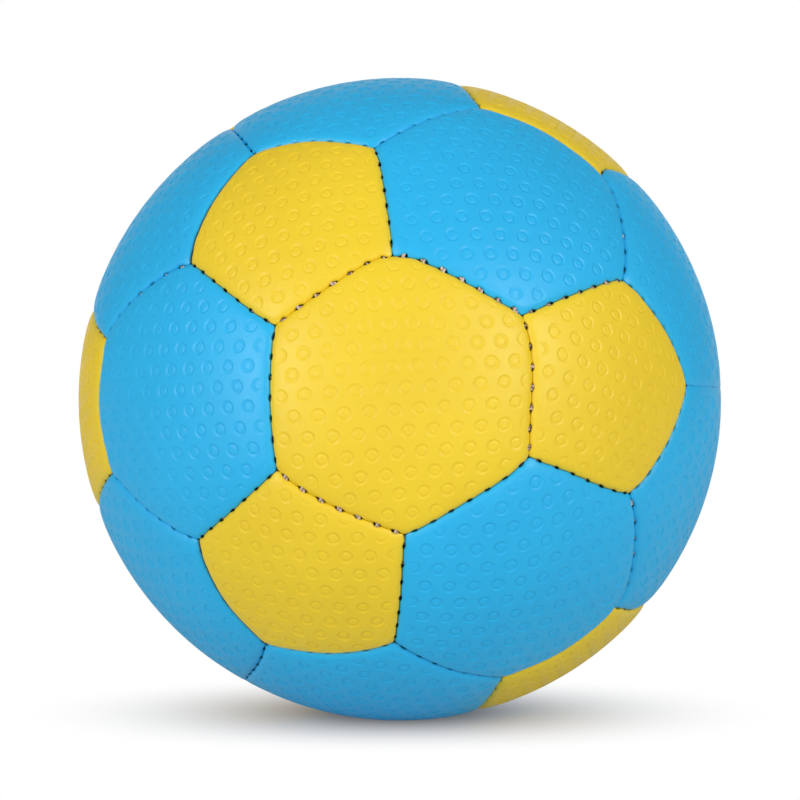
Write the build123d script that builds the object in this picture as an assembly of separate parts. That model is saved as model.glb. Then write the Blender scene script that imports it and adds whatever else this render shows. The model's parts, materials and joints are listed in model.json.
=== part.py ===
from build123d import *

import os
from itertools import combinations, product
from math import asin, cos, pi, radians, sin, sqrt, tan

# Hand-stitched handball, built the way it comes apart on a bench.
# Twenty hexagons and twelve pentagons of coated leather make the cover. Each panel is a skin with
# turned-in seam flanges, punched for the lacing thread, and has a lining pad bonded into its back.
# Inside lies a rubber bladder with a valve housing and its plug.
# Millimetres. The origin is the centre of the ball, +Z is up and the front panel faces -Y.

# Ball
BALL_DIAMETER = 175.0
LIE_PITCH = -6.1
LIE_ROLL = -1.8
LIE_TURN = 0.7

# Cover panels
COVER_THICKNESS = 1.2
FLANGE_DEPTH = 4.5
SEAM_GAP = 0.2
CORNER_RADIUS = 2.0
EDGE_ROLL = 1.2
ROLL_CREASE = 8.0
ROLL_OVERRUN = 1.5
LINING_THICKNESS = 2.8

# Seams
STITCHES_PER_SEAM = 7
THREAD_DIAMETER = 0.9
THREAD_BEND = 0.6
STITCH_OPENING_LENGTH = 2.2
STITCH_OPENING_WIDTH = 1.4

# Bladder and valve
BLADDER_WALL = 1.0
VALVE_HOLE_DIAMETER = 8.0
VALVE_RECESS = 0.8
VALVE_LENGTH = 16.0
VALVE_FLANGE_DIAMETER = 26.0
VALVE_FLANGE_THICKNESS = 1.2
VALVE_BODY_DIAMETER = 10.0
PLUG_DIAMETER = 4.4
PLUG_HEAD_DIAMETER = 5.6
PLUG_HEAD_HEIGHT = 1.8
NEEDLE_BORE_DIAMETER = 2.0
NEEDLE_LEAD_IN = 0.6

# Clearances
CLEARANCE = 0.15
PLUG_CLEARANCE = 0.05

# Colours
BLUE = Color(0.04, 0.44, 0.79)
YELLOW = Color(0.91, 0.68, 0.05)
LINING_WHITE = Color(0.85, 0.83, 0.78)
THREAD_BEIGE = Color(0.80, 0.70, 0.58)
RUBBER_BLACK = Color(0.03, 0.03, 0.03)

# Sizes that follow from those above
BALL_RADIUS = BALL_DIAMETER / 2
HALF_GAP = SEAM_GAP / 2
STITCH_HOLE_DIAMETER = THREAD_DIAMETER + 2 * CLEARANCE
STITCH_DEPTH = COVER_THICKNESS + CLEARANCE + THREAD_DIAMETER / 2
STITCH_RADIUS = BALL_RADIUS - STITCH_DEPTH
THREAD_LANE = HALF_GAP + COVER_THICKNESS + CLEARANCE + THREAD_DIAMETER / 2
LINING_INSET = THREAD_LANE + THREAD_DIAMETER / 2 + CLEARANCE
LINING_OUTER_RADIUS = BALL_RADIUS - COVER_THICKNESS - CLEARANCE
LINING_INNER_RADIUS = LINING_OUTER_RADIUS - LINING_THICKNESS
FLANGE_RADIUS = BALL_RADIUS - FLANGE_DEPTH
BLADDER_RADIUS = min(FLANGE_RADIUS, LINING_INNER_RADIUS) - CLEARANCE
BLADDER_INNER_RADIUS = BLADDER_RADIUS - BLADDER_WALL
VALVE_TOP = BALL_RADIUS - VALVE_RECESS
VALVE_END = BALL_RADIUS - VALVE_LENGTH
NECK_DIAMETER = VALVE_HOLE_DIAMETER - 2 * CLEARANCE

# Layout of the panels on the ball
CENTRE = Vector(0, 0, 0)
VALVE_SIDE = Vector(-0.4, 0.7, 0.6)
MATCH = 1.01
GOLDEN = (1 + sqrt(5)) / 2
FRONT_FACE = (Vector(0, 1, GOLDEN), Vector(1, GOLDEN, 0), Vector(GOLDEN, 0, 1))


def frame_towards(z_dir, towards):
    """Plane at the ball's centre that looks along z_dir, with its x axis on the side of towards."""
    z_dir = z_dir.normalized()
    across = towards - z_dir * towards.dot(z_dir)
    return Plane(origin=CENTRE, x_dir=across, z_dir=z_dir)


def ball_centres():
    """Unit vectors to the pentagon centres and the hexagon centres, with the ball as it lies."""
    corners = []
    for a, b in product((-1, 1), (-GOLDEN, GOLDEN)):
        corners += [Vector(0, a, b), Vector(a, b, 0), Vector(b, 0, a)]
    corner_step = FRONT_FACE[0].get_angle(FRONT_FACE[1]) * MATCH
    faces = [
        a + b + c
        for a, b, c in combinations(corners, 3)
        if max(a.get_angle(b), b.get_angle(c), c.get_angle(a)) < corner_step
    ]
    neat = frame_towards(sum(FRONT_FACE, CENTRE), FRONT_FACE[0])
    lie = Rot(Z=LIE_TURN) * Rot(Y=LIE_ROLL) * Rot(X=LIE_PITCH)
    front = Plane(lie * Plane(origin=CENTRE, x_dir=(1, 0, 0), z_dir=(0, -1, 0)).location)

    def laid(vectors):
        turned = [front.from_local_coords(neat.to_local_coords(v)).normalized() for v in vectors]
        return sorted(turned, key=lambda v: (round(v.Y, 4), v.X))

    return laid(corners), laid(faces)


PENTAGON_CENTRES, HEXAGON_CENTRES = ball_centres()
SEAM_ARC = (FRONT_FACE[0] * 2 + FRONT_FACE[1]).get_angle(FRONT_FACE[0] + FRONT_FACE[1] * 2)
HEXAGON_STEP = min(a.get_angle(b) for a, b in combinations(HEXAGON_CENTRES, 2))
PENTAGON_STEP = min(p.get_angle(h) for p, h in product(PENTAGON_CENTRES, HEXAGON_CENTRES))
HEXAGON_REACH = HEXAGON_STEP / 2
PENTAGON_REACH = PENTAGON_STEP - HEXAGON_REACH
STITCH_STEP = SEAM_ARC / STITCHES_PER_SEAM
STITCH_ANGLES = [(k - (STITCHES_PER_SEAM - 1) / 2) * STITCH_STEP for k in range(STITCHES_PER_SEAM)]
VALVE_PANEL = max(range(len(HEXAGON_CENTRES)), key=lambda k: HEXAGON_CENTRES[k].dot(VALVE_SIDE))


def nearest(centre, others):
    """The first of the closest centres to a given one."""
    return min((o for o in others if o is not centre), key=lambda o: round(centre.get_angle(o), 3))


def panel_frame(centre):
    """Frame of a panel: z out through its middle, x towards the middle of one of its seams."""
    return frame_towards(centre, nearest(centre, HEXAGON_CENTRES))


def seam_frame(centre, neighbour, reach):
    """Frame of the seam between two panels: x across it, y along it and z out through its middle."""
    across = frame_towards(centre, neighbour)
    out = across.z_dir * cos(radians(reach)) + across.x_dir * sin(radians(reach))
    return frame_towards(out, neighbour)


# Cover panels
def wedge_ring(sides, reach, inset, height):
    """Corners of a panel's pyramid at one height above the ball's centre."""
    apothem = height * tan(radians(reach)) - inset / cos(radians(reach))
    corner = Vector(apothem / cos(pi / sides), 0, height)
    return [corner.rotate(Axis.Z, (k + 0.5) * 360 / sides) for k in range(sides)]


def wedge(sides, reach, inset):
    """Pyramid of a panel, from near the ball's centre to outside it, a given inset within its seams."""
    low = wedge_ring(sides, reach, inset, BALL_RADIUS / 2)
    high = wedge_ring(sides, reach, inset, BALL_RADIUS + CLEARANCE)
    outlines = [low, high]
    for k in range(sides):
        outlines.append([low[k - 1], low[k], high[k], high[k - 1]])
    faces = [Face(Wire.make_polygon(outline)) for outline in outlines]
    return Part() + Solid(Shell(faces))


def ball(radius):
    """Sphere whose poles and seam line lie clear of the panel on its z axis."""
    return Sphere(radius, rotation=(0, 90, 0))


def radial_edges(solid):
    """Edges of a panel that run between its outer and its inner face, at its corners."""
    return [e for e in solid.edges() if e.geom_type == GeomType.LINE]


def roll_cutter():
    """What the rolled edge takes off a panel along one seam, in the seam's frame, panel at -x."""
    overshoot = EDGE_ROLL * cos(radians(ROLL_CREASE))
    middle = Vector(-HALF_GAP - overshoot, 0)
    middle += Vector(0, sqrt((BALL_RADIUS - overshoot) ** 2 - middle.X**2))
    across = Vector(EDGE_ROLL, 0)
    out = middle.normalized() * EDGE_ROLL
    halfway = (across + out).normalized() * EDGE_ROLL
    roll = ThreePointArc(middle + across, middle + halfway, middle + out)
    beyond = middle + across * 2 + out * 2
    rest = Polyline(middle + out, middle + out * 2, beyond, middle + across * 2, middle + across)
    section = Plane.XZ * make_face([roll, rest])
    whole_seam = SEAM_ARC * ROLL_OVERRUN
    return revolve(Rot(X=whole_seam / 2) * section, Axis.X, -whole_seam)


def stitch_cutters():
    """Lens-shaped openings and thread holes of one seam, in the seam's frame, panel at -x."""
    half_length = STITCH_OPENING_LENGTH / 2
    half_width = STITCH_OPENING_WIDTH / 2
    lens_radius = (half_length**2 + half_width**2) / (2 * half_width)
    above = Align.CENTER, Align.CENTER, Align.MIN
    opening = Cylinder(lens_radius, STITCH_DEPTH + CLEARANCE, align=above)
    opening = Pos(lens_radius - half_width, 0, STITCH_RADIUS) * opening
    hole = Cylinder(STITCH_HOLE_DIAMETER / 2, 2 * (THREAD_LANE + THREAD_DIAMETER), rotation=(0, 90, 0))
    hole = Pos(Z=STITCH_RADIUS) * hole
    return [Rot(X=-angle) * cutter for angle in STITCH_ANGLES for cutter in (opening, hole)]


def cover_panel(sides, reach):
    """One panel: a rolled-edge skin with turned-in flanges all round, punched for its stitches."""
    panel = wedge(sides, reach, HALF_GAP) & (ball(BALL_RADIUS) - ball(FLANGE_RADIUS))
    panel = fillet(radial_edges(panel), CORNER_RADIUS)
    pocket = wedge(sides, reach, HALF_GAP + COVER_THICKNESS) & ball(BALL_RADIUS - COVER_THICKNESS)
    edge_frame = Plane(
        origin=CENTRE,
        x_dir=(cos(radians(reach)), 0, -sin(radians(reach))),
        z_dir=(sin(radians(reach)), 0, cos(radians(reach))),
    )
    edge_cutters = [roll_cutter()] + stitch_cutters()
    cutters = [pocket]
    for side in range(sides):
        place = Rot(Z=side * 360 / sides) * edge_frame.location
        cutters += [place * cutter for cutter in edge_cutters]
    return panel - cutters


def lining_pad(sides, reach):
    """Cloth lining of one panel, inside its flanges and clear of the thread behind them."""
    pad = wedge(sides, reach, LINING_INSET) & (ball(LINING_OUTER_RADIUS) - ball(LINING_INNER_RADIUS))
    return fillet(radial_edges(pad), CORNER_RADIUS)


def valve_hole(radius):
    """Cutter for the hole that the valve's neck stands in, in the frame of its panel."""
    return Pos(Z=BALL_RADIUS) * Cylinder(radius, BALL_RADIUS)


# Seams
def lacing_thread():
    """Thread of one seam: bars through the punched flanges and runs behind them, side by side in turn."""
    points = []
    side = -1
    for angle in STITCH_ANGLES:
        along = STITCH_RADIUS * sin(radians(angle))
        out = STITCH_RADIUS * cos(radians(angle))
        points.append(Vector(side * THREAD_LANE, along, out))
        points.append(Vector(-side * THREAD_LANE, along, out))
        side = -side
    path = FilletPolyline(*points, radius=THREAD_BEND)
    start = Plane(origin=points[0], z_dir=points[1] - points[0])
    return sweep(start * Circle(THREAD_DIAMETER / 2), path=path)


def seam_frames():
    """Frames of all seams: those between two hexagons and those round the pentagons."""
    frames = []
    for a, b in combinations(HEXAGON_CENTRES, 2):
        if a.get_angle(b) < HEXAGON_STEP * MATCH:
            frames.append(seam_frame(a, b, HEXAGON_REACH))
    for pentagon, hexagon in product(PENTAGON_CENTRES, HEXAGON_CENTRES):
        if pentagon.get_angle(hexagon) < PENTAGON_STEP * MATCH:
            frames.append(seam_frame(pentagon, hexagon, PENTAGON_REACH))
    return frames


# Bladder and valve, in the frame of the valve's panel
def bladder():
    """Hollow rubber ball with a hole for the valve's neck."""
    return ball(BLADDER_RADIUS) - ball(BLADDER_INNER_RADIUS) - valve_hole(VALVE_HOLE_DIAMETER / 2)


def stepped_pin(top, end, head_height, head_radius, stem_radius):
    """Round head over a round stem, from top down to end."""
    head = Pos(Z=top) * Cylinder(head_radius, head_height, align=(Align.CENTER, Align.CENTER, Align.MAX))
    stem = Pos(Z=top) * Cylinder(stem_radius, top - end, align=(Align.CENTER, Align.CENTER, Align.MAX))
    return head + stem


def valve_housing():
    """Neck through the cover, dished flange under the bladder wall and body below it, bored for the plug."""
    flange_top = BLADDER_INNER_RADIUS - CLEARANCE
    dish = ball(flange_top) - ball(flange_top - VALVE_FLANGE_THICKNESS)
    dish = dish & (Pos(Z=BALL_RADIUS) * Cylinder(VALVE_FLANGE_DIAMETER / 2, BALL_RADIUS))
    shoulder = flange_top * cos(asin(VALVE_BODY_DIAMETER / 2 / flange_top)) - VALVE_FLANGE_THICKNESS / 2
    low_align = (Align.CENTER, Align.CENTER, Align.MIN)
    neck = Pos(Z=shoulder) * Cylinder(NECK_DIAMETER / 2, VALVE_TOP - shoulder, align=low_align)
    body = Pos(Z=VALVE_END) * Cylinder(VALVE_BODY_DIAMETER / 2, shoulder - VALVE_END, align=low_align)
    seat = stepped_pin(
        VALVE_TOP,
        VALVE_END,
        PLUG_HEAD_HEIGHT + PLUG_CLEARANCE,
        PLUG_HEAD_DIAMETER / 2 + PLUG_CLEARANCE,
        PLUG_DIAMETER / 2 + PLUG_CLEARANCE,
    )
    return dish + neck + body - seat


def valve_plug():
    """Headed rubber plug with the bore that an inflating needle goes through."""
    plug = stepped_pin(VALVE_TOP, VALVE_END, PLUG_HEAD_HEIGHT, PLUG_HEAD_DIAMETER / 2, PLUG_DIAMETER / 2)
    bore = Pos(Z=(VALVE_TOP + VALVE_END) / 2) * Cylinder(NEEDLE_BORE_DIAMETER / 2, VALVE_LENGTH)
    mouth = NEEDLE_BORE_DIAMETER / 2 + NEEDLE_LEAD_IN
    lead_in = Pos(Z=VALVE_TOP) * Cone(
        NEEDLE_BORE_DIAMETER / 2, mouth, NEEDLE_LEAD_IN, align=(Align.CENTER, Align.CENTER, Align.MAX)
    )
    return plug - bore - lead_in


def write(name, color, solids):
    """Writes the solids of one node to its own file."""
    shape = Compound(children=solids) if len(solids) > 1 else solids[0]
    shape.label = name
    shape.color = color
    export_step(shape, f"parts/{name}.step", write_pcurves=False)


def placed(frames, solid):
    """Copies of a solid, one in each frame."""
    copies = [frame.location * solid for frame in frames]
    return [piece for copy in copies for piece in copy.solids()]


os.makedirs("parts", exist_ok=True)
hexagon_frames = [panel_frame(centre) for centre in HEXAGON_CENTRES]
pentagon_frames = [panel_frame(centre) for centre in PENTAGON_CENTRES]
valve_frame = hexagon_frames[VALVE_PANEL]
plain_frames = [frame for frame in hexagon_frames if frame is not valve_frame]
neck_hole = valve_hole(VALVE_HOLE_DIAMETER / 2)

hexagon = cover_panel(6, HEXAGON_REACH)
valve_hexagon = hexagon - neck_hole
pentagon = cover_panel(5, PENTAGON_REACH)
for number, frame in enumerate(hexagon_frames, 1):
    panel = valve_hexagon if frame is valve_frame else hexagon
    write(f"hexagon_panel_{number:02}", YELLOW if number == 1 else BLUE, placed([frame], panel))
for number, frame in enumerate(pentagon_frames, 1):
    write(f"pentagon_panel_{number:02}", YELLOW, placed([frame], pentagon))

hexagon_lining = lining_pad(6, HEXAGON_REACH)
write("hexagon_linings", LINING_WHITE, placed(plain_frames, hexagon_lining))
write("valve_panel_lining", LINING_WHITE, placed([valve_frame], hexagon_lining - neck_hole))
write("pentagon_linings", LINING_WHITE, placed(pentagon_frames, lining_pad(5, PENTAGON_REACH)))
write("seam_thread", THREAD_BEIGE, placed(seam_frames(), lacing_thread()))
write("bladder", RUBBER_BLACK, placed([valve_frame], bladder()))
write("valve_housing", RUBBER_BLACK, placed([valve_frame], valve_housing()))
write("valve_plug", RUBBER_BLACK, placed([valve_frame], valve_plug()))
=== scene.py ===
"""Dresses the hand-stitched handball: embossed panels, laced seams, valve, inner layers and studio."""

import itertools
import json
import logging
import math
import random
from dataclasses import dataclass
from enum import Enum

import bmesh
import bpy
import numpy as np
from mathutils import Matrix, Vector


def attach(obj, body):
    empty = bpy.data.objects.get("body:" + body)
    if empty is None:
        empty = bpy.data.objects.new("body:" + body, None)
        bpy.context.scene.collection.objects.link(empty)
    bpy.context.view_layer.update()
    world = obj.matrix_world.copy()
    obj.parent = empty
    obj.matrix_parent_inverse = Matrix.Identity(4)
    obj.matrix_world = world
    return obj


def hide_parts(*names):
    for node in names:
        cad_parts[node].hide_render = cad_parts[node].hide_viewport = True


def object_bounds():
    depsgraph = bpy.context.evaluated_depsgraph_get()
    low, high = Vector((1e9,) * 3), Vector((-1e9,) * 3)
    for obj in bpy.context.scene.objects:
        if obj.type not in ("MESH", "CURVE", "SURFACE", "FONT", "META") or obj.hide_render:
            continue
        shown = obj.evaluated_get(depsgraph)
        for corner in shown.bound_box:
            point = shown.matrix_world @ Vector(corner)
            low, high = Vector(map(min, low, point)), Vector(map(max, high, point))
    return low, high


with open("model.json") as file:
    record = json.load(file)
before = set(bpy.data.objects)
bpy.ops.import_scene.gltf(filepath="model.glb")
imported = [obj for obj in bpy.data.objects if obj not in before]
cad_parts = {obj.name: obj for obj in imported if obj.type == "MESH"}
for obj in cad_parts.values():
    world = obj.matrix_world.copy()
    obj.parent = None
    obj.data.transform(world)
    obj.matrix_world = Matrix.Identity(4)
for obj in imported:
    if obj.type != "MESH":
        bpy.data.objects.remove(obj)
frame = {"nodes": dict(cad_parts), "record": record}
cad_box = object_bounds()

logging.basicConfig(level=logging.INFO, format="%(message)s")
log = logging.getLogger("handball")

MM = 0.001
BODY = "root"
NEIGHBOUR_MARGIN = 1.01
Colour = tuple[float, float, float]
Rgba = tuple[float, float, float, float]
Socket = tuple[bpy.types.Node, int | str]
Feed = Socket | float
EdgeRow = tuple[np.ndarray, np.ndarray | float]


class PanelShape(Enum):
    """The two outlines of a cover panel, by their number of sides."""

    HEXAGON = 6
    PENTAGON = 5

    def panel(self, number: int) -> str:
        """Name of the panel of this shape with a given number."""
        return f"{self.name.lower()}_panel_{number:02}"


hexagon = PanelShape.HEXAGON.panel
pentagon = PanelShape.PENTAGON.panel


class SeamLevel(Enum):
    """Values of the seam attribute on a panel: its open face, its touching edge and its flange's end."""

    FACE = 0.0
    EDGE = 1.0
    FLANGE_END = 2.0


def smooth_step(low: float, high: float, value: np.ndarray) -> np.ndarray:
    """Smooth rise from 0 at low to 1 at high.

    Args:
        low: value where the rise starts.
        high: value where the rise ends.
        value: where to read the rise.

    Returns:
        The rise at each value.
    """
    share = np.clip((value - low) / (high - low), 0.0, 1.0)
    return share * share * (3.0 - 2.0 * share)


def unit(vector: np.ndarray) -> np.ndarray:
    """The vector at length 1."""
    return vector / np.linalg.norm(vector)


def frame_towards(z_axis: np.ndarray, towards: np.ndarray) -> np.ndarray:
    """Frame at the ball's centre that looks along one vector, with x on the side of another.

    Args:
        z_axis: where the frame's z axis points.
        towards: vector on whose side the x axis lies.

    Returns:
        Matrix with the frame's x, y and z axes as its columns.
    """
    z_axis = unit(z_axis)
    x_axis = unit(towards - z_axis * (towards @ z_axis))
    return np.stack([x_axis, np.cross(z_axis, x_axis), z_axis], axis=1)


def turn(axis: int, degrees: float) -> np.ndarray:
    """Rotation matrix about one of the ball's axes.

    Args:
        axis: 0 for X, 1 for Y and 2 for Z.
        degrees: angle by the right-hand rule.

    Returns:
        The 3 by 3 matrix.
    """
    first, second = (axis + 1) % 3, (axis + 2) % 3
    matrix = np.eye(3)
    matrix[first, first] = matrix[second, second] = math.cos(math.radians(degrees))
    matrix[second, first] = math.sin(math.radians(degrees))
    matrix[first, second] = -matrix[second, first]
    return matrix


def angle_between(a: np.ndarray, b: np.ndarray) -> float:
    """Angle between two vectors, in radians."""
    return math.acos(max(-1.0, min(1.0, float(unit(a) @ unit(b)))))


def link_object(name: str, data: bpy.types.ID) -> bpy.types.Object:
    """Puts a mesh, a light or a camera into the scene as an object at the origin.

    Args:
        name: the object's name.
        data: what it holds. A mesh has its place in its vertices.

    Returns:
        The new object.
    """
    piece = bpy.data.objects.new(name, data)
    bpy.context.scene.collection.objects.link(piece)
    return piece


def evaluated_mesh(piece: bpy.types.Object) -> bpy.types.Mesh:
    """The mesh of an object as its modifiers leave it."""
    seen = piece.evaluated_get(bpy.context.evaluated_depsgraph_get())
    return bpy.data.meshes.new_from_object(seen)


def add_node(
    tree: bpy.types.NodeTree, kind: str, inputs: dict | None = None, **settings: object
) -> bpy.types.Node:
    """Adds a node to a tree, sets it and joins it to earlier nodes.

    Args:
        tree: tree that gets the node.
        kind: name of the node's type.
        inputs: input name or number to a value, or to a (node, output) pair to link.
        settings: properties of the node.

    Returns:
        The new node.
    """
    node = tree.nodes.new(kind)
    for name, value in settings.items():
        setattr(node, name, value)
    for key, value in (inputs or {}).items():
        if isinstance(value, tuple) and isinstance(value[0], bpy.types.Node):
            tree.links.new(value[0].outputs[value[1]], node.inputs[key])
        else:
            node.inputs[key].default_value = value
    return node


def math_node(tree: bpy.types.NodeTree, operation: str, a: Feed, b: Feed = 0.0, c: Feed = 0.0) -> Socket:
    """Adds a node that works out a number.

    Args:
        tree: tree that gets the node.
        operation: name of the operation.
        a: first value or (node, output) pair.
        b: second value or pair.
        c: third value or pair.

    Returns:
        The pair that other nodes link to.
    """
    inputs = {0: a, 1: b, 2: c}
    return add_node(tree, "ShaderNodeMath", inputs, operation=operation), 0


def vector_node(tree: bpy.types.NodeTree, operation: str, *values: Socket | Colour) -> bpy.types.Node:
    """Adds a node that works on vectors.

    Args:
        tree: tree that gets the node.
        operation: name of the operation.
        values: vectors or (node, output) pairs, in order.

    Returns:
        The new node.
    """
    return add_node(tree, "ShaderNodeVectorMath", dict(enumerate(values)), operation=operation)


def map_node(
    tree: bpy.types.NodeTree,
    value: Socket,
    source: tuple[float, float] = (0.0, 1.0),
    target: tuple[Feed, Feed] = (0.0, 1.0),
    smooth: bool = False,
) -> Socket:
    """Adds a node that maps a value from one span to another.

    Args:
        tree: tree that gets the node.
        value: pair to map.
        source: ends of the first span.
        target: ends of the second span, as values or pairs.
        smooth: True where the change is eased at both ends.

    Returns:
        The pair that other nodes link to.
    """
    inputs = {
        "Value": value,
        "From Min": source[0],
        "From Max": source[1],
        "To Min": target[0],
        "To Max": target[1],
    }
    easing = "SMOOTHSTEP" if smooth else "LINEAR"
    return add_node(tree, "ShaderNodeMapRange", inputs, interpolation_type=easing), "Result"


class NodeTool:
    """A geometry node tree with named inputs, run on a mesh to give a plain mesh."""

    def __init__(self, name: str, inputs: dict[str, str]) -> None:
        """Starts the tree with its sockets.

        Args:
            name: the tree's name.
            inputs: name of each size to the type of its socket.
        """
        self.tree = bpy.data.node_groups.new(name, "GeometryNodeTree")
        sockets = self.tree.interface
        sockets.new_socket("Geometry", in_out="INPUT", socket_type="NodeSocketGeometry")
        sockets.new_socket("Geometry", in_out="OUTPUT", socket_type="NodeSocketGeometry")
        for label, kind in inputs.items():
            sockets.new_socket(label, in_out="INPUT", socket_type=kind)
        self.entry = self.tree.nodes.new("NodeGroupInput")
        self.exit = self.tree.nodes.new("NodeGroupOutput")

    def size(self, name: str) -> Socket:
        """The pair that links a named input into the tree."""
        return self.entry, name

    def add(self, kind: str, inputs: dict | None = None, **settings: object) -> bpy.types.Node:
        """Adds a node to the tool's tree, as add_node does."""
        return add_node(self.tree, kind, inputs, **settings)

    def close(self, geometry: Socket) -> None:
        """Ends the tree: realizes what is instanced, sets the material and gives it out.

        Args:
            geometry: pair of the node and output with the finished shape.
        """
        real = self.add("GeometryNodeRealizeInstances", {"Geometry": geometry})
        dressed = self.add("GeometryNodeSetMaterial", {0: (real, 0), "Material": self.size("Finish")})
        self.tree.links.new(dressed.outputs[0], self.exit.inputs[0])

    def run(self, base: bpy.types.Mesh, values: dict) -> bpy.types.Mesh:
        """Runs the tree on a mesh.

        Args:
            base: mesh that the tree starts from.
            values: input name to its value.

        Returns:
            The evaluated result as a mesh of its own.
        """
        carrier = link_object(self.tree.name + "_carrier", base)
        modifier = carrier.modifiers.new(self.tree.name, "NODES")
        modifier.node_group = self.tree
        for item in self.tree.interface.items_tree:
            if item.in_out == "INPUT" and item.name in values:
                modifier[item.identifier] = values[item.name]
        result = evaluated_mesh(carrier)
        carrier.modifiers.remove(modifier)
        bpy.data.objects.remove(carrier)
        return result


class ShaderSketch:
    """A material's node tree with its shader, the piece's own coordinates and noise at hand."""

    def __init__(self, name: str) -> None:
        """Starts an empty material of this name."""
        self.material = bpy.data.materials.new(name)
        self.material.use_nodes = True
        self.tree = self.material.node_tree
        self.tree.nodes.clear()
        self.shader = self.add("ShaderNodeBsdfPrincipled")
        self.add("ShaderNodeOutputMaterial", {"Surface": (self.shader, "BSDF")})
        self.place = self.add("ShaderNodeTexCoord")

    def add(self, kind: str, inputs: dict | None = None, **settings: object) -> bpy.types.Node:
        """Adds a node to the material's tree, as add_node does."""
        return add_node(self.tree, kind, inputs, **settings)

    def noise(self, scale: float, detail: float = 3.0, roughness: float = 0.5) -> Socket:
        """Noise on the piece's own coordinates.

        Args:
            scale: features to the metre.
            detail: number of finer layers.
            roughness: strength of the finer layers.

        Returns:
            Pair of the node and its value.
        """
        inputs = {
            "Vector": (self.place, "Object"),
            "Scale": scale,
            "Detail": detail,
            "Roughness": roughness,
        }
        return self.add("ShaderNodeTexNoise", inputs), "Fac"

    def cells(self, scale: float) -> Socket:
        """Distance from the middles of cells on the piece's own coordinates, for pebbled grain."""
        inputs = {"Vector": (self.place, "Object"), "Scale": scale}
        return self.add("ShaderNodeTexVoronoi", inputs), "Distance"

    def attribute(self, name: str) -> Socket:
        """Value of one of the mesh's own attributes."""
        return self.add("ShaderNodeAttribute", attribute_name=name), "Fac"

    def span(self, value: Socket, source: tuple[float, float], target: tuple[float, float]) -> Socket:
        """Maps a value from one span to another, as map_node does."""
        return map_node(self.tree, value, source, target)

    def mix(self, share: Socket, first: Socket | Rgba, second: Socket | Rgba) -> Socket:
        """Mixes two colours.

        Args:
            share: amount of the second colour.
            first: colour or pair.
            second: colour or pair.

        Returns:
            Pair of the node and its colour.
        """
        share_input, first_input, second_input, colour_output = 0, 6, 7, 2
        inputs = {share_input: share, first_input: first, second_input: second}
        return self.add("ShaderNodeMix", inputs, data_type="RGBA"), colour_output

    def bump(
        self, height: Socket, strength: float, distance: float, normal: Socket | None = None
    ) -> Socket:
        """Bump from a height.

        Args:
            height: pair with the height.
            strength: share of the bump.
            distance: depth in metres.
            normal: pair with an earlier bump to build on.

        Returns:
            Pair of the node and its normal.
        """
        inputs = {"Height": height, "Strength": strength, "Distance": distance}
        if normal is not None:
            inputs["Normal"] = normal
        return self.add("ShaderNodeBump", inputs), "Normal"

    def feed(self, **links: Socket) -> None:
        """Links pairs to the shader's sockets, written with underscores for blanks."""
        for name, pair in links.items():
            self.tree.links.new(pair[0].outputs[pair[1]], self.shader.inputs[name.replace("_", " ")])

    def fix(self, **values: float) -> None:
        """Sets plain values on the shader's own sockets."""
        for name, value in values.items():
            self.shader.inputs[name.replace("_", " ")].default_value = value


def rgba(colour: Colour) -> Rgba:
    """A colour with full opacity."""
    return (*colour, 1.0)


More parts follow.
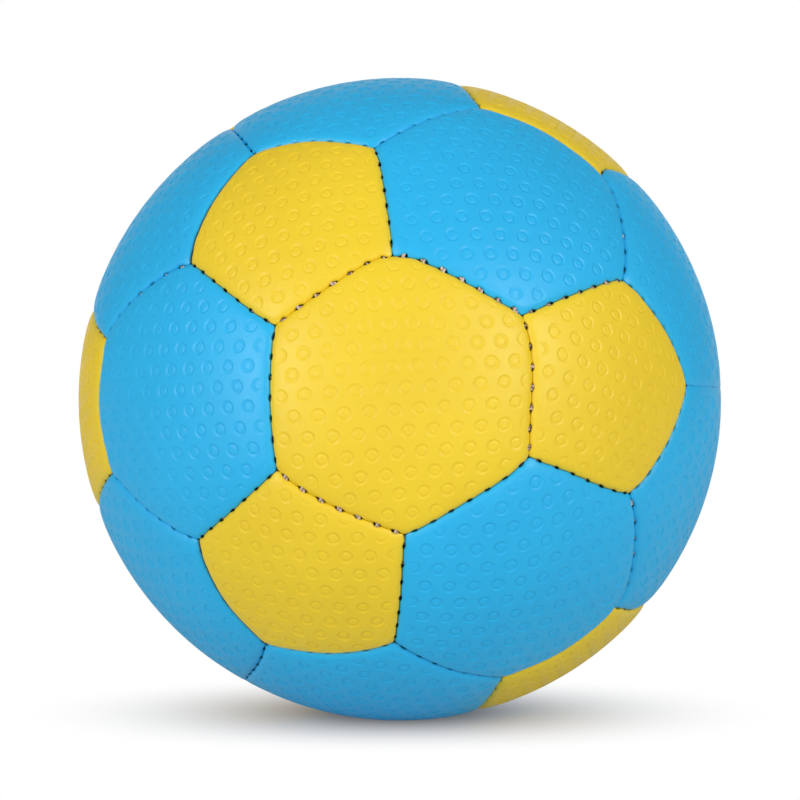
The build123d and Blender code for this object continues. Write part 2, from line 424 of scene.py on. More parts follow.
@dataclass(frozen=True)
class CoatedLeather:
    """Semi-matte coated leather of the cover, embossed, with painted shade in its grooves and seams."""

    name: str
    colour: Colour
    shade: Colour
    seam_shade: Colour
    cloud_scale: float = 38.0
    cloud_span: tuple[float, float] = (0.35, 0.7)
    cloud_share: float = 0.35
    groove_shade_span: tuple[float, float] = (0.1, 0.9)
    groove_painted_shade: float = 0.02
    wear_and_shade_scale: float = 420.0
    seam_shade_noise_span: tuple[float, float] = (0.3, 0.7)
    seam_shade_jitter: tuple[float, float] = (-0.1, 0.1)
    seam_span: tuple[float, float] = (0.5, 1.2)
    seam_shade_share: float = 0.9
    rough_span: tuple[float, float] = (0.25, 0.75)
    roughness: tuple[float, float] = (0.36, 0.46)
    groove_rim: tuple[float, float] = (0.1, 0.4)
    groove_roughness: float = 0.03
    specular: float = 0.5
    grain_scale: float = 2300.0
    grain_strength: float = 0.35
    grain_depth: float = 0.05 * MM
    pore_share: float = 0.62
    pore_strength: float = 0.25
    pore_depth: float = 0.03 * MM

    def material(self) -> bpy.types.Material:
        """Builds the node material.

        Returns:
            The finished material.
        """
        sketch = ShaderSketch(self.name)
        groove = sketch.attribute("groove")
        patch = sketch.span(sketch.noise(self.cloud_scale, 4.0), self.cloud_span, (0.0, self.cloud_share))
        base = sketch.mix(patch, rgba(self.colour), rgba(self.shade))
        # Painted shade: the leather is mixed towards its darker tone in the ring grooves, where shade
        # falls.
        groove_shade = sketch.span(groove, self.groove_shade_span, (0.0, self.groove_painted_shade))
        base = sketch.mix(groove_shade, base, rgba(self.shade))
        # Painted shade in the seams: the seam level plus a noise jitter mixes the leather towards the dark
        # seam colour in the valleys, stitch openings and flanges. The same noise gives the real wear in the
        # roughness.
        wear_and_shade_noise = sketch.noise(self.wear_and_shade_scale, 5.0, 0.65)
        edge = sketch.span(wear_and_shade_noise, self.seam_shade_noise_span, self.seam_shade_jitter)
        seam_shade_level = math_node(sketch.tree, "ADD", sketch.attribute("seam"), edge)
        depth = sketch.span(seam_shade_level, self.seam_span, (0.0, self.seam_shade_share))
        base = sketch.mix(depth, base, rgba(self.seam_shade))
        pressed = sketch.span(groove, self.groove_rim, (0.0, self.groove_roughness))
        worn = sketch.span(wear_and_shade_noise, self.rough_span, self.roughness)
        roughness = math_node(sketch.tree, "ADD", worn, pressed)
        grain = sketch.noise(self.grain_scale, 2.0, 0.6)
        pores = sketch.cells(self.grain_scale * self.pore_share)
        normal = sketch.bump(grain, self.grain_strength, self.grain_depth)
        normal = sketch.bump(pores, self.pore_strength, self.pore_depth, normal)
        sketch.feed(Base_Color=base, Roughness=roughness, Normal=normal)
        sketch.fix(Specular_IOR_Level=self.specular)
        return sketch.material


@dataclass(frozen=True)
class WaxedThread:
    """Pale twisted thread, waxed, with fibres along it and a little dirt."""

    name: str
    colour: Colour
    shade: Colour
    dirt_scale: float = 160.0
    dirt_span: tuple[float, float] = (0.35, 0.7)
    dirt_share: float = 0.7
    fibre_scale: float = 5200.0
    fibre_span: tuple[float, float] = (0.2, 0.8)
    fibre_strength: float = 0.5
    fibre_depth: float = 0.06 * MM
    roughness: tuple[float, float] = (0.55, 0.75)
    sheen: float = 0.2
    sheen_roughness: float = 0.4

    def material(self) -> bpy.types.Material:
        """Builds the node material.

        Returns:
            The finished material.
        """
        sketch = ShaderSketch(self.name)
        fibre = sketch.noise(self.fibre_scale, 3.0, 0.6)
        dirt = sketch.span(sketch.noise(self.dirt_scale), self.dirt_span, (0.0, self.dirt_share))
        sketch.feed(
            Base_Color=sketch.mix(dirt, rgba(self.colour), rgba(self.shade)),
            Roughness=sketch.span(fibre, self.fibre_span, self.roughness),
            Normal=sketch.bump(fibre, self.fibre_strength, self.fibre_depth),
        )
        sketch.fix(Sheen_Weight=self.sheen, Sheen_Roughness=self.sheen_roughness)
        return sketch.material


@dataclass(frozen=True)
class Rubber:
    """Moulded rubber with a fine matte skin and pale bloom."""

    name: str
    colour: Colour
    bloom: Colour
    bloom_scale: float = 140.0
    bloom_span: tuple[float, float] = (0.45, 0.75)
    bloom_share: float = 0.6
    skin_scale: float = 3200.0
    skin_span: tuple[float, float] = (0.2, 0.8)
    skin_strength: float = 0.3
    skin_depth: float = 0.04 * MM
    roughness: tuple[float, float] = (0.48, 0.66)
    specular: float = 0.45

    def material(self) -> bpy.types.Material:
        """Builds the node material.

        Returns:
            The finished material.
        """
        sketch = ShaderSketch(self.name)
        cloud = sketch.noise(self.bloom_scale, 4.0, 0.6)
        bloom = sketch.span(cloud, self.bloom_span, (0.0, self.bloom_share))
        skin = sketch.noise(self.skin_scale, 2.0)
        sketch.feed(
            Base_Color=sketch.mix(bloom, rgba(self.colour), rgba(self.bloom)),
            Roughness=sketch.span(skin, self.skin_span, self.roughness),
            Normal=sketch.bump(skin, self.skin_strength, self.skin_depth),
        )
        sketch.fix(Specular_IOR_Level=self.specular)
        return sketch.material


@dataclass(frozen=True)
class LiningCloth:
    """Layered lining cloth with a plain weave."""

    name: str
    colour: Colour
    shade: Colour
    threads: float = 1400.0
    waviness: float = 0.6
    weave_strength: float = 0.4
    weave_depth: float = 0.1 * MM
    fuzz_scale: float = 900.0
    fuzz_span: tuple[float, float] = (0.2, 0.8)
    roughness: tuple[float, float] = (0.8, 0.95)
    sheen: float = 0.15

    def material(self) -> bpy.types.Material:
        """Builds the node material.

        Returns:
            The finished material.
        """
        sketch = ShaderSketch(self.name)
        inputs = {
            "Vector": (sketch.place, "Object"),
            "Scale": self.threads / math.tau,
            "Distortion": self.waviness,
        }
        waves = []
        for direction in ("X", "Z"):
            node = sketch.add("ShaderNodeTexWave", inputs, bands_direction=direction)
            waves.append((node, "Fac"))
        weave = math_node(sketch.tree, "MULTIPLY", waves[0], waves[1])
        sketch.feed(
            Base_Color=sketch.mix(weave, rgba(self.shade), rgba(self.colour)),
            Roughness=sketch.span(sketch.noise(self.fuzz_scale), self.fuzz_span, self.roughness),
            Normal=sketch.bump(weave, self.weave_strength, self.weave_depth),
        )
        sketch.fix(Sheen_Weight=self.sheen)
        return sketch.material


WHITE = rgba((1.0, 1.0, 1.0))
# seam_shade is the painted shade of the seams and stitch openings. shade is the darker random tone of the
# leather, and also the painted shade of the ring grooves.
BLUE_COVER = CoatedLeather(
    "sky_blue_leather",
    colour=(0.011, 0.47, 0.86),
    shade=(0.008, 0.40, 0.75),
    seam_shade=(0.004, 0.02, 0.035),
)
YELLOW_COVER = CoatedLeather(
    "yellow_leather",
    colour=(0.89, 0.635, 0.018),
    shade=(0.78, 0.53, 0.012),
    seam_shade=(0.04, 0.02, 0.005),
)
LACING_THREAD = WaxedThread("beige_thread", (0.78, 0.60, 0.49), (0.45, 0.30, 0.23))
VALVE_RUBBER = Rubber("black_valve_rubber", (0.018, 0.018, 0.019), (0.06, 0.06, 0.062))
BLADDER_RUBBER = Rubber("bladder_rubber", (0.03, 0.028, 0.027), (0.09, 0.085, 0.08))
LINING = LiningCloth("lining_cloth", (0.74, 0.71, 0.64), (0.45, 0.42, 0.37))


@dataclass(frozen=True)
class Seam:
    """One seam. Its frame has x across it, towards the second panel, y along it and z out of its middle."""

    axes: np.ndarray
    panels: tuple[str, str]

    def spot(self, angle: float) -> np.ndarray:
        """Unit vector to the place on the seam at an angle from its middle, in radians."""
        return self.axes[:, 2] * math.cos(angle) + self.axes[:, 1] * math.sin(angle)


@dataclass
class BallLayout:
    """Places of the panels and seams on the ball, by the same rule as the part's own."""

    radius: float
    lie_pitch: float = -6.1
    lie_roll: float = -1.8
    lie_turn: float = 0.7
    stitches: int = 7

    def __post_init__(self) -> None:
        """Works out the centres of the panels and the angles between them."""
        golden = (1.0 + math.sqrt(5.0)) / 2.0
        corners = []
        for a, b in itertools.product((-1.0, 1.0), (-golden, golden)):
            corners += [np.array((0.0, a, b)), np.array((a, b, 0.0)), np.array((b, 0.0, a))]
        front = [np.array(v) for v in ((0.0, 1.0, golden), (1.0, golden, 0.0), (golden, 0.0, 1.0))]
        step = angle_between(front[0], front[1]) * NEIGHBOUR_MARGIN
        faces = []
        for a, b, c in itertools.combinations(corners, 3):
            if max(angle_between(a, b), angle_between(b, c), angle_between(c, a)) < step:
                faces.append(a + b + c)
        neat = frame_towards(sum(front), front[0])
        lie = turn(2, self.lie_turn) @ turn(1, self.lie_roll) @ turn(0, self.lie_pitch)
        facing = np.array(((1.0, 0.0, 0.0), (0.0, 0.0, -1.0), (0.0, 1.0, 0.0)))
        placing = lie @ facing @ neat.T
        self.pentagons = self.front_to_back([unit(placing @ v) for v in corners])
        self.hexagons = self.front_to_back([unit(placing @ v) for v in faces])
        self.seam_arc = angle_between(2.0 * front[0] + front[1], front[0] + 2.0 * front[1])
        self.hexagon_step = min(angle_between(a, b) for a, b in itertools.combinations(self.hexagons, 2))
        pairs = itertools.product(self.pentagons, self.hexagons)
        self.pentagon_step = min(angle_between(a, b) for a, b in pairs)

    @staticmethod
    def front_to_back(centres: list[np.ndarray]) -> list[np.ndarray]:
        """The centres in the order in which the panels are numbered."""
        return sorted(centres, key=lambda v: (round(v[1], 4), v[0]))

    def reach(self, shape: PanelShape) -> float:
        """Angle from a panel's middle to the middle of its seams, in radians."""
        half = self.hexagon_step / 2.0
        return half if shape is PanelShape.HEXAGON else self.pentagon_step - half

    def panel_axes(self, centre: np.ndarray) -> np.ndarray:
        """Frame of a panel: z out through its middle, x towards the middle of one of its seams.

        Args:
            centre: unit vector to the panel's middle.

        Returns:
            Matrix with the frame's axes as its columns.
        """
        others = [h for h in self.hexagons if h is not centre]
        nearest = min(others, key=lambda h: round(angle_between(centre, h), 5))
        return frame_towards(centre, nearest)

    def seams(self) -> list[Seam]:
        """Frames of all seams, between two hexagons and round the pentagons.

        Returns:
            One Seam for each.
        """
        hexagons = list(self.named(PanelShape.HEXAGON).items())
        pentagons = list(self.named(PanelShape.PENTAGON).items())
        found = []
        for (first, a), (second, b) in itertools.combinations(hexagons, 2):
            if angle_between(a, b) < self.hexagon_step * NEIGHBOUR_MARGIN:
                found.append(Seam(self.seam_axes(a, b, self.reach(PanelShape.HEXAGON)), (first, second)))
        for (first, a), (second, b) in itertools.product(pentagons, hexagons):
            if angle_between(a, b) < self.pentagon_step * NEIGHBOUR_MARGIN:
                found.append(Seam(self.seam_axes(a, b, self.reach(PanelShape.PENTAGON)), (first, second)))
        return found

    def named(self, shape: PanelShape) -> dict[str, np.ndarray]:
        """Names of the panels of one shape, with the unit vectors to their middles."""
        centres = self.hexagons if shape is PanelShape.HEXAGON else self.pentagons
        return {shape.panel(number): centre for number, centre in enumerate(centres, 1)}

    @staticmethod
    def seam_axes(centre: np.ndarray, neighbour: np.ndarray, reach: float) -> np.ndarray:
        """Frame of the seam between two panels.

        Args:
            centre: unit vector to the first panel's middle.
            neighbour: unit vector to the second panel's middle.
            reach: angle from the first panel's middle to the seam.

        Returns:
            Matrix with the frame's axes as its columns.
        """
        across = frame_towards(centre, neighbour)
        out = across[:, 2] * math.cos(reach) + across[:, 0] * math.sin(reach)
        return frame_towards(out, neighbour)

    @property
    def stitch_step(self) -> float:
        """Angle from one stitch of a seam to the next, in radians."""
        return self.seam_arc / self.stitches

    def stitch_angles(self) -> np.ndarray:
        """Angles of a seam's stitches from its middle, in radians."""
        return (np.arange(self.stitches) - (self.stitches - 1) / 2.0) * self.stitch_step


@dataclass
class HandSewing:
    """Drift of the seams from hand sewing, as a smooth shift of everything on the ball. Millimetres."""

    layout: BallLayout
    bump: float = 11.0
    share_along: float = 0.85
    hidden_drift: float = 0.5
    settling: float = 0.02
    corner_bump: float = 2.5
    corner_pull: float = 0.6
    seed: int = 90

    def __post_init__(self) -> None:
        """Works out the strength of each bump so that the seams come to lie where they should."""
        chance = random.Random(self.seed)
        spots, across, drifts = [], [], []
        for seam in self.layout.seams():
            if seam.panels in self.left_free():
                continue
            hidden = tuple(chance.gauss(0.0, self.hidden_drift) for _ in range(3))
            for place, drift in zip((-1.0, 0.0, 1.0), self.seen_drifts().get(seam.panels, hidden)):
                angle = place * self.share_along * self.layout.seam_arc / 2.0
                spots.append(seam.spot(angle))
                across.append(seam.axes[:, 0])
                drifts.append(drift)
        self.spots, across = np.array(spots), np.array(across)
        pull = self.weights(self.spots, self.spots, self.bump) * (across @ across.T)
        strength = np.linalg.solve(pull + self.settling * np.eye(len(drifts)), np.array(drifts))
        self.bumps = across * strength[:, None]
        self.corners, self.corner_bumps = self.pulled_corners()

    def pulled_corners(self) -> tuple[np.ndarray, np.ndarray]:
        """Corners of the panels, and how far the thread pulls each of them.

        Returns:
            Unit vectors to the corners, and their shifts.
        """
        pentagons = self.layout.named(PanelShape.PENTAGON)
        centres = self.layout.named(PanelShape.HEXAGON) | pentagons
        spots, shifts = [], []
        for seam, end in itertools.product(self.layout.seams(), (-0.5, 0.5)):
            if seam.panels[0] in pentagons:
                continue
            spot = seam.spot(end * self.layout.seam_arc)
            nearest = min(pentagons, key=lambda name: angle_between(centres[name], spot))
            corner = (nearest, *seam.panels)
            pulls = self.seen_corners().get(corner, (self.corner_pull, 0.0))
            ways = [frame_towards(spot, centres[name])[:, 0] for name in corner[:len(pulls)]]
            spots.append(spot)
            shifts.append(sum(pull * way for pull, way in zip(pulls, ways)))
        return np.array(spots), np.array(shifts)

    @staticmethod
    def seen_corners() -> dict[tuple[str, str, str], tuple[float, float]]:
        """Pull of the corners in sight towards the first and the second of their panels."""
        pulls = {
            (1, 1, 2): (0.0, 0.4),
            (1, 1, 3): (-0.3, 0.2),
            (1, 2, 5): (0.9, 0.6),
            (1, 3, 6): (1.2, 0.8),
            (1, 5, 6): (0.1, -0.4),
            (2, 1, 2): (0.4, 0.6),
            (2, 1, 4): (-0.5, 0.3),
            (2, 2, 7): (1.7, 1.2),
            (2, 4, 8): (1.6, 0.9),
            (2, 7, 8): (1.0, 0.0),
            (3, 1, 3): (0.4, 0.4),
            (3, 1, 4): (0.3, 1.8),
            (3, 3, 9): (1.5, 1.6),
            (3, 4, 10): (0.6, 0.0),
            (3, 9, 10): (0.7, 0.0),
            (4, 2, 7): (0.5, 1.7),
            (5, 3, 6): (-0.2, -0.7),
            (6, 4, 8): (-1.8, 0.2),
            (7, 5, 6): (1.5, 0.0),
            (8, 7, 8): (1.5, 0.0),
            (9, 9, 10): (2.8, -1.0),
        }
        return {(pentagon(a), hexagon(b), hexagon(c)): pull for (a, b, c), pull in pulls.items()}

    @staticmethod
    def seen_drifts() -> dict[tuple[str, str], tuple[float, float, float]]:
        """Drift of the seams in sight towards their second panel, at the start, middle and end of each."""
        return {
            (hexagon(1), hexagon(2)): (-0.8, -0.8, -0.6),
            (hexagon(1), hexagon(3)): (0.2, 0.9, 0.7),
            (hexagon(1), hexagon(4)): (-0.5, -0.7, -1.0),
            (hexagon(2), hexagon(5)): (-1.8, -1.2, -2.0),
            (hexagon(2), hexagon(7)): (2.0, 1.8, 0.2),
            (hexagon(3), hexagon(9)): (-0.2, 1.0, 0.5),
            (hexagon(4), hexagon(8)): (0.2, 1.4, 0.9),
            (hexagon(5), hexagon(6)): (0.2, 0.3, 0.8),
            (pentagon(1), hexagon(1)): (0.3, -0.8, -0.9),
            (pentagon(1), hexagon(2)): (-0.2, -0.2, -0.7),
            (pentagon(1), hexagon(3)): (0.0, -0.4, -0.2),
            (pentagon(1), hexagon(5)): (-2.1, -0.9, -1.8),
            (pentagon(1), hexagon(6)): (-0.7, 0.4, -1.5),
            (pentagon(2), hexagon(1)): (0.1, 0.0, 0.7),
            (pentagon(2), hexagon(2)): (-0.7, -0.7, -0.9),
            (pentagon(2), hexagon(4)): (-0.5, 0.1, 0.3),
            (pentagon(2), hexagon(7)): (-1.3, -0.2, -0.6),
            (pentagon(2), hexagon(8)): (-0.3, 0.4, -1.0),
            (pentagon(3), hexagon(1)): (0.4, 0.0, -0.1),
            (pentagon(3), hexagon(3)): (-0.5, 0.1, 0.6),
            (pentagon(3), hexagon(4)): (-1.2, -0.9, -0.8),
            (pentagon(3), hexagon(9)): (-1.4, 0.0, -0.8),
            (pentagon(3), hexagon(10)): (-2.0, -0.1, -0.8),
            (pentagon(4), hexagon(2)): (-0.9, -1.3, 1.5),
            (pentagon(5), hexagon(3)): (1.1, -1.8, 0.3),
            (pentagon(6), hexagon(4)): (0.6, -1.3, 0.0),
            (pentagon(7), hexagon(5)): (-3.0, -3.0, -3.0),
            (pentagon(7), hexagon(6)): (-3.0, -3.0, -3.0),
            (pentagon(8), hexagon(7)): (-3.0, -3.0, -3.0),
            (pentagon(8), hexagon(8)): (-3.0, -3.0, -3.0),
            (pentagon(9), hexagon(9)): (-1.8, -2.0, -2.4),
            (pentagon(9), hexagon(10)): (-2.8, -2.6, -2.4),
        }

    @staticmethod
    def left_free() -> set[tuple[str, str]]:
        """Seams in sight that follow their neighbours."""
        pairs = ((3, 6), (4, 10), (7, 8), (9, 10))
        return {(hexagon(a), hexagon(b)) for a, b in pairs}

    def weights(self, directions: np.ndarray, spots: np.ndarray, size: float) -> np.ndarray:
        """How much each bump counts in each direction.

        Args:
            directions: unit vectors.
            spots: unit vectors to the bumps.
            size: width of the bumps.

        Returns:
            One row for each direction, one column for each bump.
        """
        return np.exp((directions @ spots.T - 1.0) * (self.layout.radius / size) ** 2)

    def move(self, points: np.ndarray) -> np.ndarray:
        """Shifts points over the ball, at the same distance from its centre.

        Args:
            points: points in the ball's frame.

        Returns:
            The shifted points.
        """
        heights = np.linalg.norm(points, axis=1, keepdims=True)
        directions = points / heights
        shift = self.weights(directions, self.spots, self.bump) @ self.bumps
        shift += self.weights(directions, self.corners, self.corner_bump) @ self.corner_bumps
        moved = directions + shift / self.layout.radius
        return moved / np.linalg.norm(moved, axis=1, keepdims=True) * heights


@dataclass
class Stitching:
    """How slack each stitch is, which opens the seam there and lifts the thread. Millimetres."""

    layout: BallLayout
    tight_width: float = 0.62
    slack_width: float = 1.05
    tight_depth: float = 3.4
    slack_depth: float = 1.9
    tight_length: float = 1.9
    slack_length: float = 2.5
    length_spread: float = 0.25
    unevenness: float = 0.25
    hidden_share: float = 0.15
    hidden_slack: float = 0.8
    level_reach: float = 6.0
    seed: int = 7

    def __post_init__(self) -> None:
        """Sets the slack of every stitch, seam by seam."""
        chance = random.Random(self.seed)
        spots, slack, lean, line, length = [], [], [], [], []
        for seam in self.layout.seams():
            hidden = self.hidden_slack if chance.random() < self.hidden_share else 0.0
            level = self.seen_slack().get(seam.panels, hidden)
            for angle in self.layout.stitch_angles():
                spots.append(seam.spot(angle))
                slack.append(level + chance.uniform(-self.unevenness, self.unevenness))
                lean.append(self.seen_lean().get(seam.panels, 0.0))
                line.append(self.seen_line_shade().get(seam.panels, 1.0))
                length.append(chance.uniform(-self.length_spread, self.length_spread))
        self.spots = np.array(spots)
        self.slack = np.clip(slack, -1.0, 1.0)
        self.lean = np.array(lean)
        self.lines = np.array(line)
        wider = (self.slack_length - self.tight_length) * np.maximum(self.slack, 0.0)
        self.lengths = self.tight_length + wider + np.array(length)
        self.second = [seam.panels[1] for seam in self.layout.seams() for _ in range(self.layout.stitches)]
        self.level_seams = [seam for seam in self.layout.seams() if seam.panels in self.seen_level()]

    @staticmethod
    def seen_slack() -> dict[tuple[str, str], float]:
        """Slack of the seams in sight: above 0 where thread shows, below 0 where they are closed."""
        tight = [(hexagon(a), hexagon(b)) for a, b in ((1, 2), (1, 3), (2, 5), (3, 6), (4, 10))]
        tight += [(pentagon(1), hexagon(k)) for k in (2, 3, 5, 6)]
        tight += [(pentagon(2), hexagon(k)) for k in (2, 7, 8)]
        tight += [(pentagon(3), hexagon(k)) for k in (3, 4, 9, 10)]
        slack = {
            (hexagon(1), hexagon(4)): 1.0,
            (pentagon(1), hexagon(1)): 0.85,
            (pentagon(2), hexagon(1)): 0.6,
            (pentagon(2), hexagon(4)): 0.5,
            (pentagon(3), hexagon(1)): 0.7,
            (hexagon(2), hexagon(7)): 0.5,
            (hexagon(3), hexagon(9)): 0.4,
            (hexagon(4), hexagon(8)): 0.5,
            (hexagon(7), hexagon(8)): -1.0,
        }
        return dict.fromkeys(tight, 0.0) | slack

    @staticmethod
    def seen_lean() -> dict[tuple[str, str], float]:
        """Share by which the stitches of a seam lie on its second panel's side."""
        return {(hexagon(1), hexagon(4)): 0.6}

    @staticmethod
    def seen_line_shade() -> dict[tuple[str, str], float]:
        """Strength of the painted shade line between the stitches on the seams where it is faint or strong.
        """
        return {
            (hexagon(2), hexagon(7)): 0.1,
            (hexagon(3), hexagon(6)): 0.3,
            (hexagon(3), hexagon(9)): 0.15,
            (hexagon(4), hexagon(8)): 0.1,
            (hexagon(4), hexagon(10)): 0.4,
            (hexagon(7), hexagon(8)): 0.0,
            (hexagon(9), hexagon(10)): 0.4,
            (pentagon(1), hexagon(1)): 0.4,
            (pentagon(1), hexagon(2)): 1.3,
            (pentagon(1), hexagon(6)): 1.9,
            (pentagon(2), hexagon(1)): 0.4,
            (pentagon(3), hexagon(1)): 0.4,
            (pentagon(3), hexagon(9)): 2.0,
            (pentagon(3), hexagon(10)): 0.6,
        }

    @staticmethod
    def seen_level() -> dict[tuple[str, str], tuple[float, float, float]]:
        """Seams in sight that lie level with their panels: by what share, and from where to where."""
        return {
            (hexagon(5), hexagon(6)): (0.85, 0.9, 1.0),
            (hexagon(7), hexagon(8)): (0.85, -1.0, 0.55),
        }

    def fall(self, directions: np.ndarray) -> np.ndarray:
        """Share of their fall towards the seams that the panels keep, less along a seam that lies level.

        Args:
            directions: unit vectors in the ball's frame.

        Returns:
            The share in each direction.
        """
        keep = np.ones(len(directions))
        half = self.layout.seam_arc / 2.0
        for seam in self.level_seams:
            share, start, end = self.seen_level()[seam.panels]
            across, along, out = (directions @ seam.axes).T
            place = np.arctan2(along, out)
            beyond = place - np.clip(place, start * half, end * half)
            away = np.hypot(beyond, across) * self.layout.radius / self.level_reach
            keep *= 1.0 - share * np.exp(-away ** 2 / 2.0)
        return keep

    def nearest(self, directions: np.ndarray) -> np.ndarray:
        """Numbers of the stitches nearest to some directions in the ball's frame."""
        return np.argmax(directions @ self.spots.T, axis=1)

    def openings(self, nearest: np.ndarray, panel: str) -> np.ndarray:
        """How far a panel's edge stands back at some stitches.

        Args:
            nearest: numbers of the stitches.
            panel: the panel's name.

        Returns:
            Half the opening's width for each, more on the side to which the stitch leans.
        """
        slack = self.slack[nearest]
        wider = (self.slack_width - self.tight_width) * np.maximum(slack, 0.0)
        width = self.tight_width * (1.0 + np.minimum(slack, 0.0)) + wider
        side = np.array([1.0 if self.second[k] == panel else -1.0 for k in nearest])
        return width / 2.0 * (1.0 + side * self.lean[nearest])

    def depths(self) -> np.ndarray:
        """Depths of the thread at all stitches, in the order of the seams."""
        return self.tight_depth + (self.slack_depth - self.tight_depth) * np.maximum(self.slack, 0.0)

    def leans(self) -> np.ndarray:
        """Distances of the thread from the middle of the seam at all stitches, towards the second panel."""
        return self.lean * self.slack_width / 2.0


@dataclass
class RingSheet:
    """Flat sheet of embossed rings on a hexagonal grid, stamped from one cell. Millimetres."""

    pitch: float = 5.9
    border_radius: float = 2.02
    outer_radius: float = 1.88
    floor_outer_radius: float = 1.58
    floor_inner_radius: float = 1.22
    island_edge_radius: float = 0.92
    island_radius: float = 0.76
    groove_depth: float = 0.25
    island_depth: float = 0.07
    segments_per_side: int = 2
    reach: float = 41.0
    spare_rows: int = 3
    merge_distance: float = 0.01

    def __post_init__(self) -> None:
        """Makes the ring cell and the node tree that repeats it."""
        self.cell = link_object("ring_cell", self.cell_mesh())
        self.tool = self.grid_tool()

    def cell_mesh(self) -> bpy.types.Mesh:
        """One hexagonal cell with a ring groove round a sunk island.

        Returns:
            The cell, centred on the origin.
        """
        corner = self.pitch / math.sqrt(3.0)
        sides = 6
        count = sides * self.segments_per_side
        corners = [corner * np.exp(1j * math.tau * k / sides) for k in range(sides + 1)]
        rim = []
        for k in range(sides):
            for part in range(self.segments_per_side):
                share = part / self.segments_per_side
                rim.append(corners[k] * (1.0 - share) + corners[k + 1] * share)
        rings = (
            (self.border_radius, 0.0),
            (self.outer_radius, 0.0),
            (self.floor_outer_radius, self.groove_depth),
            (self.floor_inner_radius, self.groove_depth),
            (self.island_edge_radius, self.island_depth),
            (self.island_radius, self.island_depth),
        )
        points = [(p.real, p.imag, 0.0) for p in rim]
        for reach, depth in rings:
            for p in rim:
                spot = p / abs(p) * reach
                points.append((spot.real, spot.imag, -depth))
        faces = []
        for loop in range(len(rings)):
            for k in range(count):
                after = (k + 1) % count
                low, high = loop * count, (loop + 1) * count
                faces.append((low + k, low + after, high + after, high + k))
        faces.append(tuple(range(len(rings) * count, (len(rings) + 1) * count)))
        mesh = bpy.data.meshes.new("ring_cell")
        mesh.from_pydata(points, [], faces)
        return mesh

    def grid_tool(self) -> NodeTool:
        """Node tree that lays the cell out on a turned and shifted hexagonal grid.

        Returns:
            The tool, to be run once for each panel.
        """
        tool = NodeTool(
            "ring_sheet",
            {
                "Cell": "NodeSocketObject",
                "Pitch": "NodeSocketFloat",
                "Count": "NodeSocketInt",
                "Reach": "NodeSocketFloat",
                "Angle": "NodeSocketRotation",
                "Shift": "NodeSocketVector",
                "Finish": "NodeSocketMaterial",
            },
        )
        tree = tool.tree
        spaces = math_node(tree, "SUBTRACT", tool.size("Count"), 1.0)
        along = math_node(tree, "MULTIPLY", spaces, tool.size("Pitch"))
        across = math_node(tree, "MULTIPLY", along, math.sqrt(3.0) / 2.0)
        sizes = {
            "Size X": across,
            "Size Y": along,
            "Vertices X": tool.size("Count"),
            "Vertices Y": tool.size("Count"),
        }
        grid = tool.add("GeometryNodeMeshGrid", sizes)
        index = tool.add("GeometryNodeInputIndex")
        row = math_node(tree, "FLOOR", math_node(tree, "DIVIDE", (index, 0), tool.size("Count")))
        odd = math_node(tree, "MODULO", row, 2.0)
        step = math_node(tree, "MULTIPLY", math_node(tree, "MULTIPLY", odd, 0.5), tool.size("Pitch"))
        offset = tool.add("ShaderNodeCombineXYZ", {"Y": step})
        moved = tool.add("GeometryNodeSetPosition", {"Geometry": (grid, "Mesh"), "Offset": (offset, 0)})
        place = tool.add("GeometryNodeInputPosition")
        length = vector_node(tree, "LENGTH", (place, 0))
        far = math_node(tree, "GREATER_THAN", (length, "Value"), tool.size("Reach"))
        outside = {"Geometry": (moved, 0), "Selection": far}
        near = tool.add("GeometryNodeDeleteGeometry", outside, domain="POINT")
        cell = tool.add("GeometryNodeObjectInfo", {"Object": tool.size("Cell"), "As Instance": True})
        stamps = {"Points": (near, 0), "Instance": (cell, "Geometry")}
        stamped = tool.add("GeometryNodeInstanceOnPoints", stamps)
        placing = {
            "Geometry": (stamped, 0),
            "Translation": tool.size("Shift"),
            "Rotation": tool.size("Angle"),
        }
        laid = tool.add("GeometryNodeTransform", placing)
        real = tool.add("GeometryNodeRealizeInstances", {"Geometry": (laid, 0)})
        merging = {"Geometry": (real, 0), "Distance": self.merge_distance}
        joined = tool.add("GeometryNodeMergeByDistance", merging)
        tool.close((joined, 0))
        return tool

    def lay(self, angle: float, shift: tuple[float, float], finish: bpy.types.Material) -> bpy.types.Mesh:
        """A sheet for one panel.

        Args:
            angle: direction of the rows of rings, in radians.
            shift: place of the grid's middle, in millimetres.
            finish: material of the sheet.

        Returns:
            The flat sheet.
        """
        rows_along_y = math.pi / 2.0
        values = {
            "Cell": self.cell,
            "Pitch": self.pitch,
            "Count": 2 * math.ceil(self.reach / self.pitch) + self.spare_rows,
            "Reach": self.reach + self.pitch,
            "Angle": (0.0, 0.0, angle - rows_along_y),
            "Shift": (*shift, 0.0),
            "Finish": finish,
        }
        return self.tool.run(bpy.data.meshes.new("ring_sheet_base"), values)

    def clear(self) -> None:
        """Takes the ring cell out of the scene once all sheets are laid."""
        bpy.data.objects.remove(self.cell)


